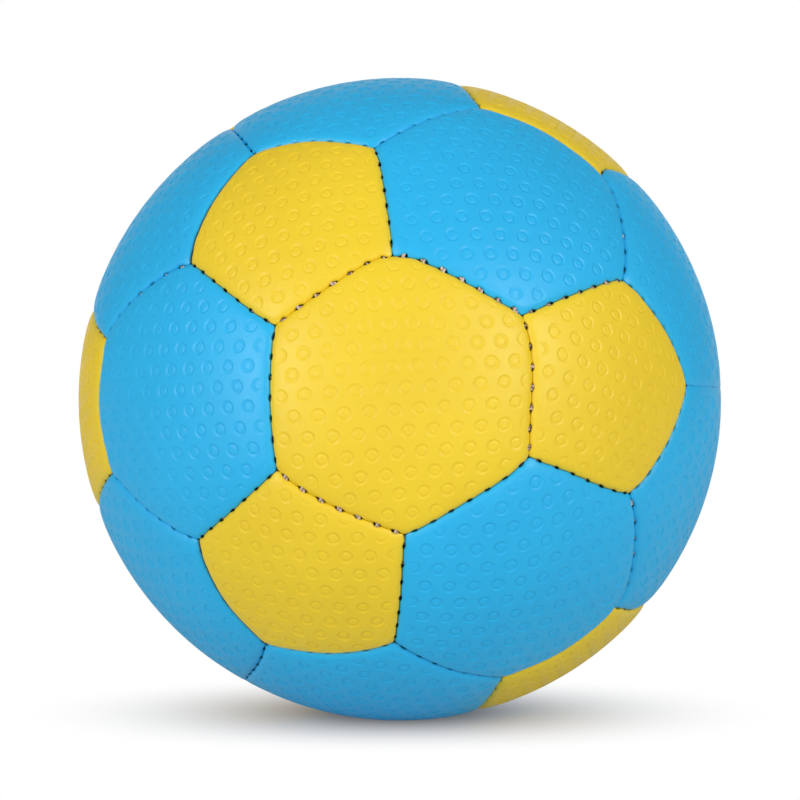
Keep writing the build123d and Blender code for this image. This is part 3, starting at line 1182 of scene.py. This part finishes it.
@dataclass
class CoverPanel:
    """One cover panel: embossed face, rolled edge, stitch openings, flange and inner skin. Millimetres."""

    name: str
    shape: PanelShape
    sewing: HandSewing
    stitching: Stitching
    axes: np.ndarray
    grid_angle: float
    grid_shift: tuple[float, float]
    roll_width: float = 1.3
    roll_depth: float = 0.6
    roll_bends: tuple[float, ...] = (0.0, 14.0, 28.0, 42.0, 56.0, 70.0, 82.0, 90.0)
    half_gap: float = 0.015
    face_round: float = 2.6
    edge_round: float = 0.7
    corner_inset: float = 0.3
    corner_half_angle: float = 58.0
    stitch_marks: tuple[float, ...] = (0.05, 0.1, 0.145, 0.185, 0.225, 0.34)
    opening_point: float = 0.7
    opening_close: tuple[float, float] = (0.2, 0.55)
    jog: float = 0.05
    skin: float = 1.2
    inner_slope: float = 6.0
    flange_depth: float = 4.5
    flange_shares: tuple[float, ...] = (0.1, 0.25, 0.42, 0.6, 1.0)
    flange_darkening: float = 3.0
    face_margin: float = 0.14
    emboss_fade: float = 2.0
    crown: float = 0.42
    crown_reach: float = 9.0
    valley: float = 0.42
    valley_reach: float = 3.2
    valve_radius: float = 0.0
    valve_plain: tuple[float, float] = (0.6, 2.2)
    valve_slope: tuple[float, float] = (-0.3, 1.6)
    valve_dimple: float = 0.5
    search_reach: float = 1.5
    search_steps: int = 45

    def __post_init__(self) -> None:
        """Works out the seam planes of the panel in its own frame."""
        sides = self.shape.value
        self.layout = self.sewing.layout
        self.reach = self.layout.reach(self.shape)
        self.azimuths = np.arange(sides) * math.tau / sides
        self.normals = self.plane_normals(self.reach, self.azimuths)

    @property
    def roll_start(self) -> float:
        """Distance from the seam at which the edge starts to roll in."""
        return self.half_gap + self.roll_width

    @staticmethod
    def plane_normals(reach: float, azimuths: np.ndarray) -> np.ndarray:
        """Outward normals of planes through the ball's centre that cut a panel at a given reach.

        Args:
            reach: angle from the panel's middle to the planes.
            azimuths: directions of the planes round the panel's middle.

        Returns:
            One normal for each azimuth.
        """
        flat = math.cos(reach)
        down = np.full(len(azimuths), -math.sin(reach))
        return np.stack([flat * np.cos(azimuths), flat * np.sin(azimuths), down], 1)

    @staticmethod
    def directions(polar: np.ndarray, azimuth: np.ndarray) -> np.ndarray:
        """Unit vectors from angles off the panel's middle and round it."""
        flat = np.sin(polar)
        return np.stack([flat * np.cos(azimuth), flat * np.sin(azimuth), np.cos(polar)], 1)

    def seam_distance(self, directions: np.ndarray, rounding: float) -> np.ndarray:
        """Distance of points on the ball from the nearest seam, with corners rounded off.

        Args:
            directions: unit vectors to the points.
            rounding: width over which two seams blend at a corner, or 0.

        Returns:
            Distances in millimetres, positive inside the panel.
        """
        distances = -directions @ self.normals.T * self.layout.radius
        nearest = np.partition(distances, 1, axis=1)
        if not rounding:
            return nearest[:, 0]
        blend = np.clip(1.0 - (nearest[:, 1] - nearest[:, 0]) / rounding, 0.0, 1.0)
        return nearest[:, 0] - blend * blend * rounding / 4.0

    def polar_at(self, azimuth: np.ndarray, distance: np.ndarray, rounding: float) -> np.ndarray:
        """Angles off the panel's middle at which rays reach a distance from the seams.

        Args:
            azimuth: directions of the rays.
            distance: wanted distance from the seam on each ray.
            rounding: width over which two seams blend at a corner.

        Returns:
            The angles, in radians.
        """
        low = np.zeros(len(azimuth))
        high = np.full(len(azimuth), self.reach * self.search_reach)
        for _ in range(self.search_steps):
            middle = (low + high) / 2.0
            inside = self.seam_distance(self.directions(middle, azimuth), rounding) > distance
            low = np.where(inside, middle, low)
            high = np.where(inside, high, middle)
        return (low + high) / 2.0

    def columns(self) -> tuple[np.ndarray, np.ndarray]:
        """Rays on which the rolled edge is built, crowded round the stitches.

        Returns:
            Azimuth of each ray, and its distance from the nearest stitch in millimetres.
        """
        marks = np.array(self.stitch_marks)
        shares = np.concatenate([(-0.5,), -marks[::-1], (0.0,), marks])
        pitch = self.layout.stitch_step
        along = (self.layout.stitch_angles()[:, None] + shares[None] * pitch).ravel()
        offsets = np.tile(shares * pitch * self.layout.radius, self.layout.stitches)
        swing = np.arctan2(np.tan(along), math.sin(self.reach))
        azimuth = (self.azimuths[:, None] + swing[None]).ravel()
        return azimuth, np.tile(offsets, self.shape.value)

    def seam_spots(self, azimuth: np.ndarray) -> np.ndarray:
        """Unit vectors in the ball's frame to where rays round the panel's middle meet the seams."""
        rim = self.polar_at(azimuth, np.zeros(len(azimuth)), 0.0)
        return self.directions(rim, azimuth) @ self.axes.T

    def row(
        self, azimuth: np.ndarray, distance: np.ndarray, depth: np.ndarray | float, level: float
    ) -> np.ndarray:
        """Points at a distance from the seams and a depth below the ball's surface, one on each ray.

        Args:
            azimuth: rays on which the points lie.
            distance: distance of each from the seams.
            depth: depth below the ball's surface.
            level: seam level, at which the corners grow sharper.

        Returns:
            The points, in the panel's frame.
        """
        rounding = self.face_round + (self.edge_round - self.face_round) * min(1.0, level)
        spots = self.directions(self.polar_at(azimuth, distance, rounding), azimuth)
        return spots * (self.layout.radius - depth * np.ones(len(azimuth)))[:, None]

    def crown_drop(self, distance: np.ndarray) -> np.ndarray:
        """How far the face lies below the ball's surface, by distance from the seam."""
        wide = np.clip(1.0 - distance / self.crown_reach, 0.0, 1.0)
        near = np.clip(1.0 - distance / self.valley_reach, 0.0, 1.0)
        return self.crown * wide ** 2 + self.valley * near ** 2

    def wrap(self, flat: np.ndarray) -> np.ndarray:
        """Lays points of the flat sheet on the ball round the panel's middle.

        Args:
            flat: points of the sheet, with the emboss as their height.

        Returns:
            Points in the panel's frame.
        """
        spread = np.hypot(flat[:, 0], flat[:, 1])
        azimuth = np.arctan2(flat[:, 1], flat[:, 0])
        return self.directions(spread / self.layout.radius, azimuth) * (self.layout.radius + flat[:, 2:3])

    def cut_face(self, sheet: bpy.types.Mesh) -> tuple[np.ndarray, list[list[int]], list[int]]:
        """Wraps the ring sheet on the ball and trims it to the panel's face.

        Args:
            sheet: flat ring sheet.

        Returns:
            Points in the panel's frame, faces, and the rim's points in order round the panel.
        """
        flat = np.empty(len(sheet.vertices) * 3)
        sheet.vertices.foreach_get("co", flat)
        sheet.vertices.foreach_set("co", self.wrap(flat.reshape(-1, 3)).ravel())
        shape = bmesh.new()
        shape.from_mesh(sheet)
        margin = self.roll_start + self.face_margin
        half_side = math.pi / self.shape.value
        corner = math.atan(math.tan(self.reach) / math.cos(half_side))
        slope = math.sin(math.radians(self.corner_half_angle))
        corner_cut = corner - (margin + self.face_round * self.corner_inset) / slope / self.layout.radius
        cuts = [(normal, margin) for normal in self.normals]
        cuts += [(normal, 0.0) for normal in self.plane_normals(corner_cut, self.azimuths + half_side)]
        for normal, inset in cuts:
            bmesh.ops.bisect_plane(
                shape,
                geom=[*shape.verts, *shape.edges, *shape.faces],
                dist=1e-5,
                plane_co=Vector(-normal * inset),
                plane_no=Vector(normal),
                clear_outer=True,
            )
        shape.verts.index_update()
        points = np.array([v.co for v in shape.verts])
        faces = [[v.index for v in face.verts] for face in shape.faces]
        rim = {v.index for edge in shape.edges if edge.is_boundary for v in edge.verts}
        shape.free()
        order = sorted(rim, key=lambda k: math.atan2(points[k, 1], points[k, 0]))
        return points, faces, order

    def settle_face(self, points: np.ndarray) -> tuple[np.ndarray, np.ndarray]:
        """Fades the emboss out at the rim and lowers the face towards the seams and the valve.

        Args:
            points: points of the trimmed face.

        Returns:
            The settled points and their share of the groove's depth.
        """
        heights = np.linalg.norm(points, axis=1)
        directions = points / heights[:, None]
        distance = self.seam_distance(directions, self.face_round)
        shown = smooth_step(self.roll_start, self.roll_start + self.emboss_fade, distance)
        emboss = (heights - self.layout.radius) * shown
        drop = self.crown_drop(distance) * self.stitching.fall(directions @ self.axes.T)
        if self.valve_radius:
            spread = np.arccos(np.clip(directions[:, 2], -1.0, 1.0)) * self.layout.radius
            plain = [self.valve_radius + reach for reach in self.valve_plain]
            slope = [self.valve_radius + reach for reach in self.valve_slope]
            emboss *= smooth_step(*plain, spread)
            drop += self.valve_dimple * (1.0 - smooth_step(*slope, spread))
        return directions * (self.layout.radius + emboss - drop)[:, None], -emboss

    def edge_rows(self, azimuth: np.ndarray, offset: np.ndarray) -> list[EdgeRow]:
        """Rows of points from the face's rim over the rolled edge, down the flange and back inside.

        Args:
            azimuth: rays on which the rows have their points.
            offset: distance of each ray from the nearest stitch.

        Returns:
            Each row's points and its seam level.
        """
        spots = self.seam_spots(azimuth)
        nearest = self.stitching.nearest(spots)
        fall_share = self.stitching.fall(spots)
        stretch = 2.0 * offset / self.stitching.lengths[nearest]
        along = np.clip(1.0 - stretch ** 2, 0.0, 1.0) ** self.opening_point
        lens = self.stitching.openings(nearest, self.name) * along
        # The seam level is the mask of the painted shade along the seam: full in the stitch openings, and
        # between them as strong as the seam's painted shade line.
        seam_shade_strength = self.stitching.lines[nearest] * (1.0 - along) + along
        pitch = self.layout.stitch_step * self.layout.radius
        jog = self.jog * np.sin(math.tau * offset / pitch)
        base = (self.crown + self.valley) * fall_share
        roll = self.roll_depth * fall_share
        rows = []
        for bend in np.radians(self.roll_bends):
            rolled = self.roll_start - self.roll_width * math.sin(bend)
            distance = rolled + (lens - jog) * math.sin(bend) ** 2
            fall = 1.0 - math.cos(bend)
            sunk = self.crown_drop(distance) * fall_share * (1.0 - fall) + base * fall
            level = SeamLevel.EDGE.value * fall
            rows.append((self.row(azimuth, distance, sunk + roll * fall, level), level * seam_shade_strength))
        deepest = SeamLevel.FLANGE_END.value
        for share in self.flange_shares:
            depth = roll + base + (self.flange_depth - roll - base) * share
            open_share = 1.0 - smooth_step(*self.opening_close, np.full(len(azimuth), share))
            # The seam level rises down the flange, so the inside of the seam gets the painted shade.
            darkened = min(1.0, self.flange_darkening * share)
            level = SeamLevel.EDGE.value + (deepest - SeamLevel.EDGE.value) * darkened
            rows.append((self.row(azimuth, self.half_gap + (lens - jog) * open_share, depth, level), level))
        inside = np.full(len(azimuth), self.half_gap + self.skin)
        back = (
            (inside, self.flange_depth),
            (inside, self.skin + base),
            (inside + self.inner_slope, self.skin),
        )
        for distance, depth in back:
            rows.append((self.row(azimuth, distance, depth, deepest), deepest))
        return rows

    def build(self, sheets: RingSheet, finish: bpy.types.Material) -> bpy.types.Object:
        """Builds the whole panel as one closed mesh.

        Args:
            sheets: maker of the embossed sheets.
            finish: the panel's material.

        Returns:
            The finished object, in its place on the ball.
        """
        points, faces, rim = self.cut_face(sheets.lay(self.grid_angle, self.grid_shift, finish))
        points, grooves = self.settle_face(points)
        azimuth, offset = self.columns()
        rows = self.edge_rows(azimuth, offset)
        count = len(azimuth)
        first = len(points)
        around = [math.atan2(points[k, 1], points[k, 0]) for k in rim]
        wrapped = np.arctan2(np.sin(azimuth), np.cos(azimuth))
        begin = int(np.argmin(wrapped))
        ring = [(begin + k) % count for k in range(count)]
        faces += zip_loops(rim, around, [first + k for k in ring], [wrapped[k] for k in ring])
        for row in range(len(rows) - 1):
            low, high = first + row * count, first + (row + 1) * count
            for k in range(count):
                after = (k + 1) % count
                faces.append([low + k, high + k, high + after, low + after])
        last = first + (len(rows) - 1) * count
        middle = first + len(rows) * count
        faces += [[last + k, middle, last + (k + 1) % count] for k in range(count)]
        inner = np.array(((0.0, 0.0, self.layout.radius - self.skin),))
        everything = np.concatenate([points, *[row for row, _ in rows], inner])
        seam = np.full(len(everything), SeamLevel.FACE.value)
        groove = np.zeros(len(everything))
        groove[:first] = grooves / sheets.groove_depth
        for k, (_, level) in enumerate(rows):
            seam[first + k * count:first + (k + 1) * count] = level
        seam[middle] = SeamLevel.FLANGE_END.value
        return self.finish_mesh(everything, faces, seam, groove, finish)

    def finish_mesh(
        self,
        points: np.ndarray,
        faces: list[list[int]],
        seam: np.ndarray,
        groove: np.ndarray,
        finish: bpy.types.Material,
    ) -> bpy.types.Object:
        """Turns points and faces into the panel's object.

        Args:
            points: points in the panel's frame, in millimetres.
            faces: faces by number of point.
            seam: seam level of each point.
            groove: share of the groove's depth at each point.
            finish: the panel's material.

        Returns:
            The object, with its faces outwards and smooth.
        """
        mesh = bpy.data.meshes.new(self.name)
        mesh.from_pydata((self.sewing.move(points @ self.axes.T) * MM).tolist(), [], faces)
        for label, values in (("seam", seam), ("groove", groove)):
            layer = mesh.attributes.new(label, "FLOAT", "POINT")
            layer.data.foreach_set("value", values.astype(np.float32))
        shape = bmesh.new()
        shape.from_mesh(mesh)
        bmesh.ops.recalc_face_normals(shape, faces=shape.faces)
        shape.to_mesh(mesh)
        shape.free()
        mesh.shade_smooth()
        mesh.materials.append(finish)
        return link_object(self.name, mesh)


def zip_loops(
    outer: list[int], outer_at: list[float], inner: list[int], inner_at: list[float]
) -> list[list[int]]:
    """Triangles that close the strip between two loops of points round the same middle.

    Args:
        outer: first loop's points, in order of angle.
        outer_at: their angles.
        inner: second loop's points, in order of angle.
        inner_at: their angles.

    Returns:
        The triangles.
    """
    triangles = []
    a, b = 0, 0
    while a < len(outer) or b < len(inner):
        next_a = outer_at[a] if a < len(outer) else math.inf
        next_b = inner_at[b] if b < len(inner) else math.inf
        here_a, here_b = outer[a - 1], inner[b - 1]
        if next_a <= next_b:
            triangles.append([here_a, here_b, outer[a]])
            a += 1
        else:
            triangles.append([here_a, here_b, inner[b]])
            b += 1
    return triangles


@dataclass
class Cover:
    """All cover panels of the ball, replacing their solids."""

    sewing: HandSewing
    stitching: Stitching
    valve_panel: str = "hexagon_panel_19"
    valve_hole_radius: float = 4.0
    punch_depth: float = 20.0
    punch_sides: int = 48
    hexagon_swing: float = 2.0
    pentagon_swing: float = 30.0
    hidden_shift: float = 2.5
    seed: int = 32

    @staticmethod
    def seen_grids() -> dict[str, tuple[float, float, float]]:
        """Turn of the ring rows in degrees and place of a ring, in the frames of the panels in sight."""
        return {
            "hexagon_panel_01": (1.8, -0.5, 1.1),
            "hexagon_panel_02": (-0.2, -0.3, -0.2),
            "hexagon_panel_03": (1.2, -0.3, 2.5),
            "hexagon_panel_04": (1.0, 1.8, -2.4),
            "hexagon_panel_05": (-2.8, 2.4, 2.0),
            "hexagon_panel_06": (1.8, 1.3, 2.3),
            "hexagon_panel_07": (1.2, 1.6, 1.0),
            "hexagon_panel_08": (-0.5, -1.2, 1.7),
            "hexagon_panel_09": (0.2, -0.2, -0.6),
            "hexagon_panel_10": (-1.2, 0.8, 0.0),
            "pentagon_panel_01": (-3.2, -0.1, -1.1),
            "pentagon_panel_02": (43.2, 0.0, -2.5),
            "pentagon_panel_03": (7.5, -2.8, -0.4),
        }

    def panels(self) -> list[CoverPanel]:
        """All panels, with their ring grids turned and shifted.

        Returns:
            The panels in the order of their numbers.
        """
        chance = random.Random(self.seed)
        swings = {PanelShape.HEXAGON: self.hexagon_swing, PanelShape.PENTAGON: self.pentagon_swing}
        layout = self.sewing.layout
        listed = []
        for shape, swing in swings.items():
            spans = (swing, self.hidden_shift, self.hidden_shift)
            for name, centre in layout.named(shape).items():
                hidden = tuple(chance.uniform(-span, span) for span in spans)
                tilt, *shift = self.seen_grids().get(name, hidden)
                panel = CoverPanel(
                    name=name,
                    shape=shape,
                    sewing=self.sewing,
                    stitching=self.stitching,
                    axes=layout.panel_axes(centre),
                    grid_angle=math.radians(tilt),
                    grid_shift=tuple(shift),
                    valve_radius=self.valve_hole_radius if name == self.valve_panel else 0.0,
                )
                listed.append(panel)
        return listed

    def build(self) -> None:
        """Builds every panel, dresses it and puts it in its solid's place."""
        sheets = RingSheet()
        finishes = {"cover_blue": BLUE_COVER.material(), "cover_yellow": YELLOW_COVER.material()}
        slots = {part["node"]: part["material_slot"] for part in frame["record"]["subparts"]}
        for panel in self.panels():
            slot = slots[panel.name]
            piece = panel.build(sheets, finishes[slot])
            if panel.valve_radius:
                self.punch(piece, panel)
            piece.name = "embossed_" + panel.name
            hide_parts(panel.name)
            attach(piece, BODY)
            log.info("%s: %d faces", piece.name, len(piece.data.polygons))
        sheets.clear()

    def punch(self, piece: bpy.types.Object, panel: CoverPanel) -> None:
        """Cuts the valve's hole through a panel.

        Args:
            piece: the panel's object.
            panel: the panel's sizes.
        """
        cutter = bmesh.new()
        bmesh.ops.create_cone(
            cutter,
            cap_ends=True,
            segments=self.punch_sides,
            radius1=panel.valve_radius * MM,
            radius2=panel.valve_radius * MM,
            depth=self.punch_depth * MM,
        )
        place = np.eye(4)
        place[:3, :3] = panel.axes
        place[:3, 3] = panel.axes[:, 2] * panel.layout.radius * MM
        mesh = bpy.data.meshes.new("valve_hole")
        cutter.to_mesh(mesh)
        cutter.free()
        mesh.transform(Matrix(place.tolist()))
        tool = link_object("valve_hole", mesh)
        modifier = piece.modifiers.new("valve_hole", "BOOLEAN")
        modifier.object = tool
        modifier.operation = "DIFFERENCE"
        modifier.solver = "EXACT"
        cut = evaluated_mesh(piece)
        piece.modifiers.remove(modifier)
        piece.data = cut
        bpy.data.objects.remove(tool)


@dataclass
class Lacing:
    """The thread of all seams, laced through the flanges and twisted from two plies. Millimetres."""

    sewing: HandSewing
    stitching: Stitching
    lane: float = 1.9
    slant: float = 1.1
    arch: float = 0.6
    ply_diameter: float = 0.88
    ply_offset: float = 0.28
    twist: float = 2.0
    bend: float = 0.55
    bend_steps: int = 3
    step: float = 0.54
    ply_sides: int = 5

    def route(self) -> bpy.types.Mesh:
        """Lines that the threads follow, in and out of the flanges of every seam.

        Returns:
            Mesh of edges, in millimetres.
        """
        points, edges = [], []
        layout = self.sewing.layout
        depths, leans = iter(self.stitching.depths()), iter(self.stitching.leans())
        for seam in layout.seams():
            side = -1.0
            first = len(points)
            for angle in layout.stitch_angles():
                radius = layout.radius - next(depths)
                along, out = radius * math.sin(angle), radius * math.cos(angle)
                lift = (radius + self.arch) / radius
                lean = next(leans)
                for across, scale in ((side, 1.0), (0.0, lift), (-side, 1.0)):
                    spot = (lean + across * self.lane, along * scale + across * self.slant, out * scale)
                    points.append(seam.axes @ np.array(spot))
                side = -side
            edges += [(k, k + 1) for k in range(first, len(points) - 1)]
        mesh = bpy.data.meshes.new("lacing_route")
        mesh.from_pydata(self.sewing.move(np.array(points)).tolist(), edges, [])
        return mesh

    def thread_tool(self) -> NodeTool:
        """Node tree that spins two plies along each line.

        Returns:
            The tool.
        """
        sizes = ("Bend", "Step", "Ply Radius", "Ply Offset", "Twist")
        inputs = {name: "NodeSocketFloat" for name in sizes}
        inputs |= {"Sides": "NodeSocketInt", "Finish": "NodeSocketMaterial"}
        tool = NodeTool("lacing_thread", inputs)
        line = tool.add("GeometryNodeMeshToCurve", {"Mesh": tool.size("Geometry")})
        bent = tool.add(
            "GeometryNodeFilletCurve",
            {
                "Curve": (line, 0),
                "Count": self.bend_steps,
                "Radius": tool.size("Bend"),
                "Limit Radius": True,
            },
            mode="POLY",
        )
        steps = {"Curve": (bent, 0), "Length": tool.size("Step")}
        even = tool.add("GeometryNodeResampleCurve", steps, mode="LENGTH")
        way = tool.add("GeometryNodeSplineParameter")
        turns = math_node(tool.tree, "MULTIPLY", (way, "Length"), tool.size("Twist"))
        spun = tool.add("GeometryNodeSetCurveTilt", {"Curve": (even, 0), "Tilt": turns})
        ply = tool.add(
            "GeometryNodeCurvePrimitiveCircle",
            {"Resolution": tool.size("Sides"), "Radius": tool.size("Ply Radius")},
            mode="RADIUS",
        )
        plies = tool.add("GeometryNodeJoinGeometry")
        for sign in (-1.0, 1.0):
            aside = math_node(tool.tree, "MULTIPLY", tool.size("Ply Offset"), sign)
            spot = tool.add("ShaderNodeCombineXYZ", {"X": aside})
            placing = {"Geometry": (ply, "Curve"), "Translation": (spot, 0)}
            moved = tool.add("GeometryNodeTransform", placing)
            tool.tree.links.new(moved.outputs[0], plies.inputs[0])
        solid = tool.add(
            "GeometryNodeCurveToMesh", {"Curve": (spun, 0), "Profile Curve": (plies, 0), "Fill Caps": True}
        )
        tool.close((solid, 0))
        return tool

    def build(self) -> None:
        """Builds the lacing as one piece in its solid's place."""
        values = {
            "Bend": self.bend,
            "Step": self.step,
            "Ply Radius": self.ply_diameter / 2.0,
            "Ply Offset": self.ply_offset,
            "Twist": self.twist,
            "Sides": self.ply_sides,
            "Finish": LACING_THREAD.material(),
        }
        mesh = self.thread_tool().run(self.route(), values)
        mesh.transform(Matrix.Scale(MM, 4))
        mesh.shade_smooth()
        piece = link_object("laced_seam_thread", mesh)
        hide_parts("seam_thread")
        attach(piece, BODY)
        log.info("%s: %d faces", piece.name, len(mesh.polygons))


@dataclass
class InnerLayers:
    """Solids that keep their own shape: the lining, the bladder and the valve."""

    def build(self) -> None:
        """Gives each of them its finish."""
        finishes = {
            "lining": LINING.material(),
            "bladder_rubber": BLADDER_RUBBER.material(),
            "valve_rubber": VALVE_RUBBER.material(),
        }
        for part in frame["record"]["subparts"]:
            if part["material_slot"] in finishes:
                piece = frame["nodes"][part["node"]]
                piece.data.materials.clear()
                piece.data.materials.append(finishes[part["material_slot"]])
                log.info("%s: dressed", part["node"])


@dataclass(frozen=True)
class SoftBox:
    """A soft light that faces the ball. Metres and watts."""

    name: str
    place: tuple[float, float, float]
    size: tuple[float, float]
    power: float

    def build(self) -> None:
        """Sets the light in its place."""
        data = bpy.data.lights.new(self.name, "AREA")
        data.shape = "RECTANGLE"
        data.size, data.size_y = self.size
        data.energy = self.power
        lamp = link_object(self.name, data)
        lamp.location = self.place
        lamp.rotation_euler = Vector(self.place).to_track_quat("Z", "Y").to_euler()


SOFT_BOXES = (
    SoftBox("front_box", (0.0, -1.35, 0.12), (0.9, 0.6), 1.25),
    SoftBox("left_box", (-0.945, -0.966, 0.36), (0.55, 0.85), 6.9),
    SoftBox("right_box", (0.85, -0.977, 0.53), (0.55, 0.85), 7.1),
)


@dataclass
class Studio:
    """Pale floor, soft lights, white surroundings and the camera. Metres and degrees."""

    radius: float
    elevation: float = 5.0
    distance_radii: float = 6.7
    outline_pixels: float = 321.3
    picture_pixels: float = 800.0
    shift: tuple[float, float] = (0.00014, -0.00106)
    floor_size: float = 40.0
    floor_bounce: float = 0.75
    floor_tone: float = 1.2
    shadow_oval: tuple[float, float, float] = (1.0, 2.35, 0.0)
    shadow_end: float = 0.11
    shadow_reach: float = 0.4
    shadow_gain: float = 1.1
    shadow_power: float = 1.65
    shadow_floor: float = 0.03
    shadow_share: float = 0.65
    shadow_samples: int = 8
    sky: float = 0.45
    sky_mirrored: float = 0.14
    sky_turn: tuple[float, float] = (-0.3, 0.5)
    backdrop_edge: tuple[float, float] = (0.8, 0.95)
    sensor: float = 36.0
    clip_end: float = 100.0

    def seen_white(self, tree: bpy.types.NodeTree, rays: bpy.types.Node, towards: Socket) -> Socket:
        """Share of white that a ray sees: all of it from the camera, and the backdrop's in reflections.

        Args:
            tree: tree that gets the nodes.
            rays: the tree's light path node.
            towards: pair with the direction from the ball.

        Returns:
            Pair of the node and its share.
        """
        axes = add_node(tree, "ShaderNodeSeparateXYZ", {0: towards})
        behind = map_node(tree, (axes, "Y"), self.backdrop_edge, smooth=True)
        mirrored = math_node(tree, "MULTIPLY", (rays, "Is Glossy Ray"), behind)
        direct = math_node(tree, "MAXIMUM", (rays, "Is Camera Ray"), (rays, "Is Transmission Ray"))
        return math_node(tree, "MAXIMUM", direct, mirrored)

    def floor(self) -> None:
        """Lays the floor: near the ball it shows a painted shadow, an emission that follows ambient
        occlusion, mixed with real diffuse shading; outside an oval it is plain white.
        """
        mesh = bpy.data.meshes.new("studio_floor")
        half = self.floor_size / 2.0
        square = ((-half, -half), (half, -half), (half, half), (-half, half))
        mesh.from_pydata([(x, y, -self.radius) for x, y in square], [], [(0, 1, 2, 3)])
        material = bpy.data.materials.new("pale_floor")
        material.use_nodes = True
        tree = material.node_tree
        tree.nodes.clear()
        place = add_node(tree, "ShaderNodeTexCoord")
        # The painted shadow ends at an oval round the contact point, beyond which the floor is plain white.
        oval = vector_node(tree, "MULTIPLY", (place, "Object"), self.shadow_oval)
        away = vector_node(tree, "LENGTH", (oval, 0))
        far = map_node(tree, (away, "Value"), (0.0, self.shadow_end), smooth=True)
        rays = add_node(tree, "ShaderNodeLightPath")
        towards = vector_node(tree, "NORMALIZE", (place, "Object"))
        seen = self.seen_white(tree, rays, (towards, 0))
        share = math_node(tree, "MULTIPLY", seen, far)
        tone = map_node(tree, seen, target=(self.floor_bounce, self.floor_tone))
        dull = add_node(tree, "ShaderNodeBsdfDiffuse", {"Color": tone})
        white = add_node(tree, "ShaderNodeEmission", {"Color": WHITE, "Strength": 1.0})
        # Painted shadow: to the camera the floor glows with an emission whose strength follows ambient
        # occlusion, mixed with the real diffuse shading.
        reach = {"Distance": self.shadow_reach}
        near = add_node(tree, "ShaderNodeAmbientOcclusion", reach, samples=self.shadow_samples)
        deep = math_node(tree, "POWER", (near, "AO"), self.shadow_power)
        level = math_node(tree, "MULTIPLY_ADD", deep, self.shadow_gain, self.shadow_floor)
        soft = add_node(tree, "ShaderNodeEmission", {"Color": WHITE, "Strength": level})
        part = math_node(tree, "MULTIPLY", seen, self.shadow_share)
        shaded = add_node(tree, "ShaderNodeMixShader", {0: part, 1: (dull, 0), 2: (soft, 0)})
        mixed = add_node(tree, "ShaderNodeMixShader", {0: share, 1: (shaded, 0), 2: (white, 0)})
        add_node(tree, "ShaderNodeOutputMaterial", {"Surface": (mixed, 0)})
        mesh.materials.append(material)
        link_object("studio_floor", mesh)

    def world(self) -> None:
        """Sets soft surroundings, plain white to the camera, with a white backdrop that also reflects."""
        world = bpy.data.worlds.new("white_surroundings")
        world.use_nodes = True
        tree = world.node_tree
        tree.nodes.clear()
        rays = add_node(tree, "ShaderNodeLightPath")
        place = add_node(tree, "ShaderNodeTexCoord")
        seen = self.seen_white(tree, rays, (place, "Generated"))
        axes = add_node(tree, "ShaderNodeSeparateXYZ", {0: (place, "Generated")})
        change = self.sky_mirrored - self.sky
        dimmer = math_node(tree, "MULTIPLY_ADD", (rays, "Is Glossy Ray"), change, self.sky)
        around = map_node(tree, (axes, "Y"), self.sky_turn, (self.sky, dimmer), smooth=True)
        level = map_node(tree, seen, target=(around, 1.0))
        light = add_node(tree, "ShaderNodeBackground", {"Color": WHITE, "Strength": level})
        add_node(tree, "ShaderNodeOutputWorld", {"Surface": (light, 0)})
        bpy.context.scene.world = world

    def camera(self) -> None:
        """Sets the camera at the photograph's angle, with the ball as large as it is there."""
        data = bpy.data.cameras.new("camera")
        half_picture = self.picture_pixels / 2.0
        outline = math.tan(math.asin(1.0 / self.distance_radii))
        data.sensor_width = self.sensor
        data.lens = self.sensor / 2.0 / (outline * half_picture / self.outline_pixels)
        data.shift_x, data.shift_y = self.shift
        data.clip_end = self.clip_end
        camera = link_object("camera", data)
        tilt = math.radians(self.elevation)
        distance = self.radius * self.distance_radii
        camera.location = (0.0, -distance * math.cos(tilt), distance * math.sin(tilt))
        camera.rotation_euler = (math.pi / 2.0 - tilt, 0.0, 0.0)
        bpy.context.scene.camera = camera

    def build(self) -> None:
        """Builds the whole studio."""
        self.floor()
        self.world()
        for box in SOFT_BOXES:
            box.build()
        self.camera()
        bpy.context.scene.view_settings.view_transform = "Standard"
        log.info("studio ready")


def main() -> None:
    """Builds the ball's pieces and the studio in order."""
    low, high = cad_box
    radius = max(high[k] - low[k] for k in range(3)) / 2.0
    layout = BallLayout(radius / MM)
    sewing = HandSewing(layout)
    stitching = Stitching(layout)
    Cover(sewing, stitching).build()
    Lacing(sewing, stitching).build()
    InnerLayers().build()
    Studio(radius).build()


if __name__ == "__main__":
    main()
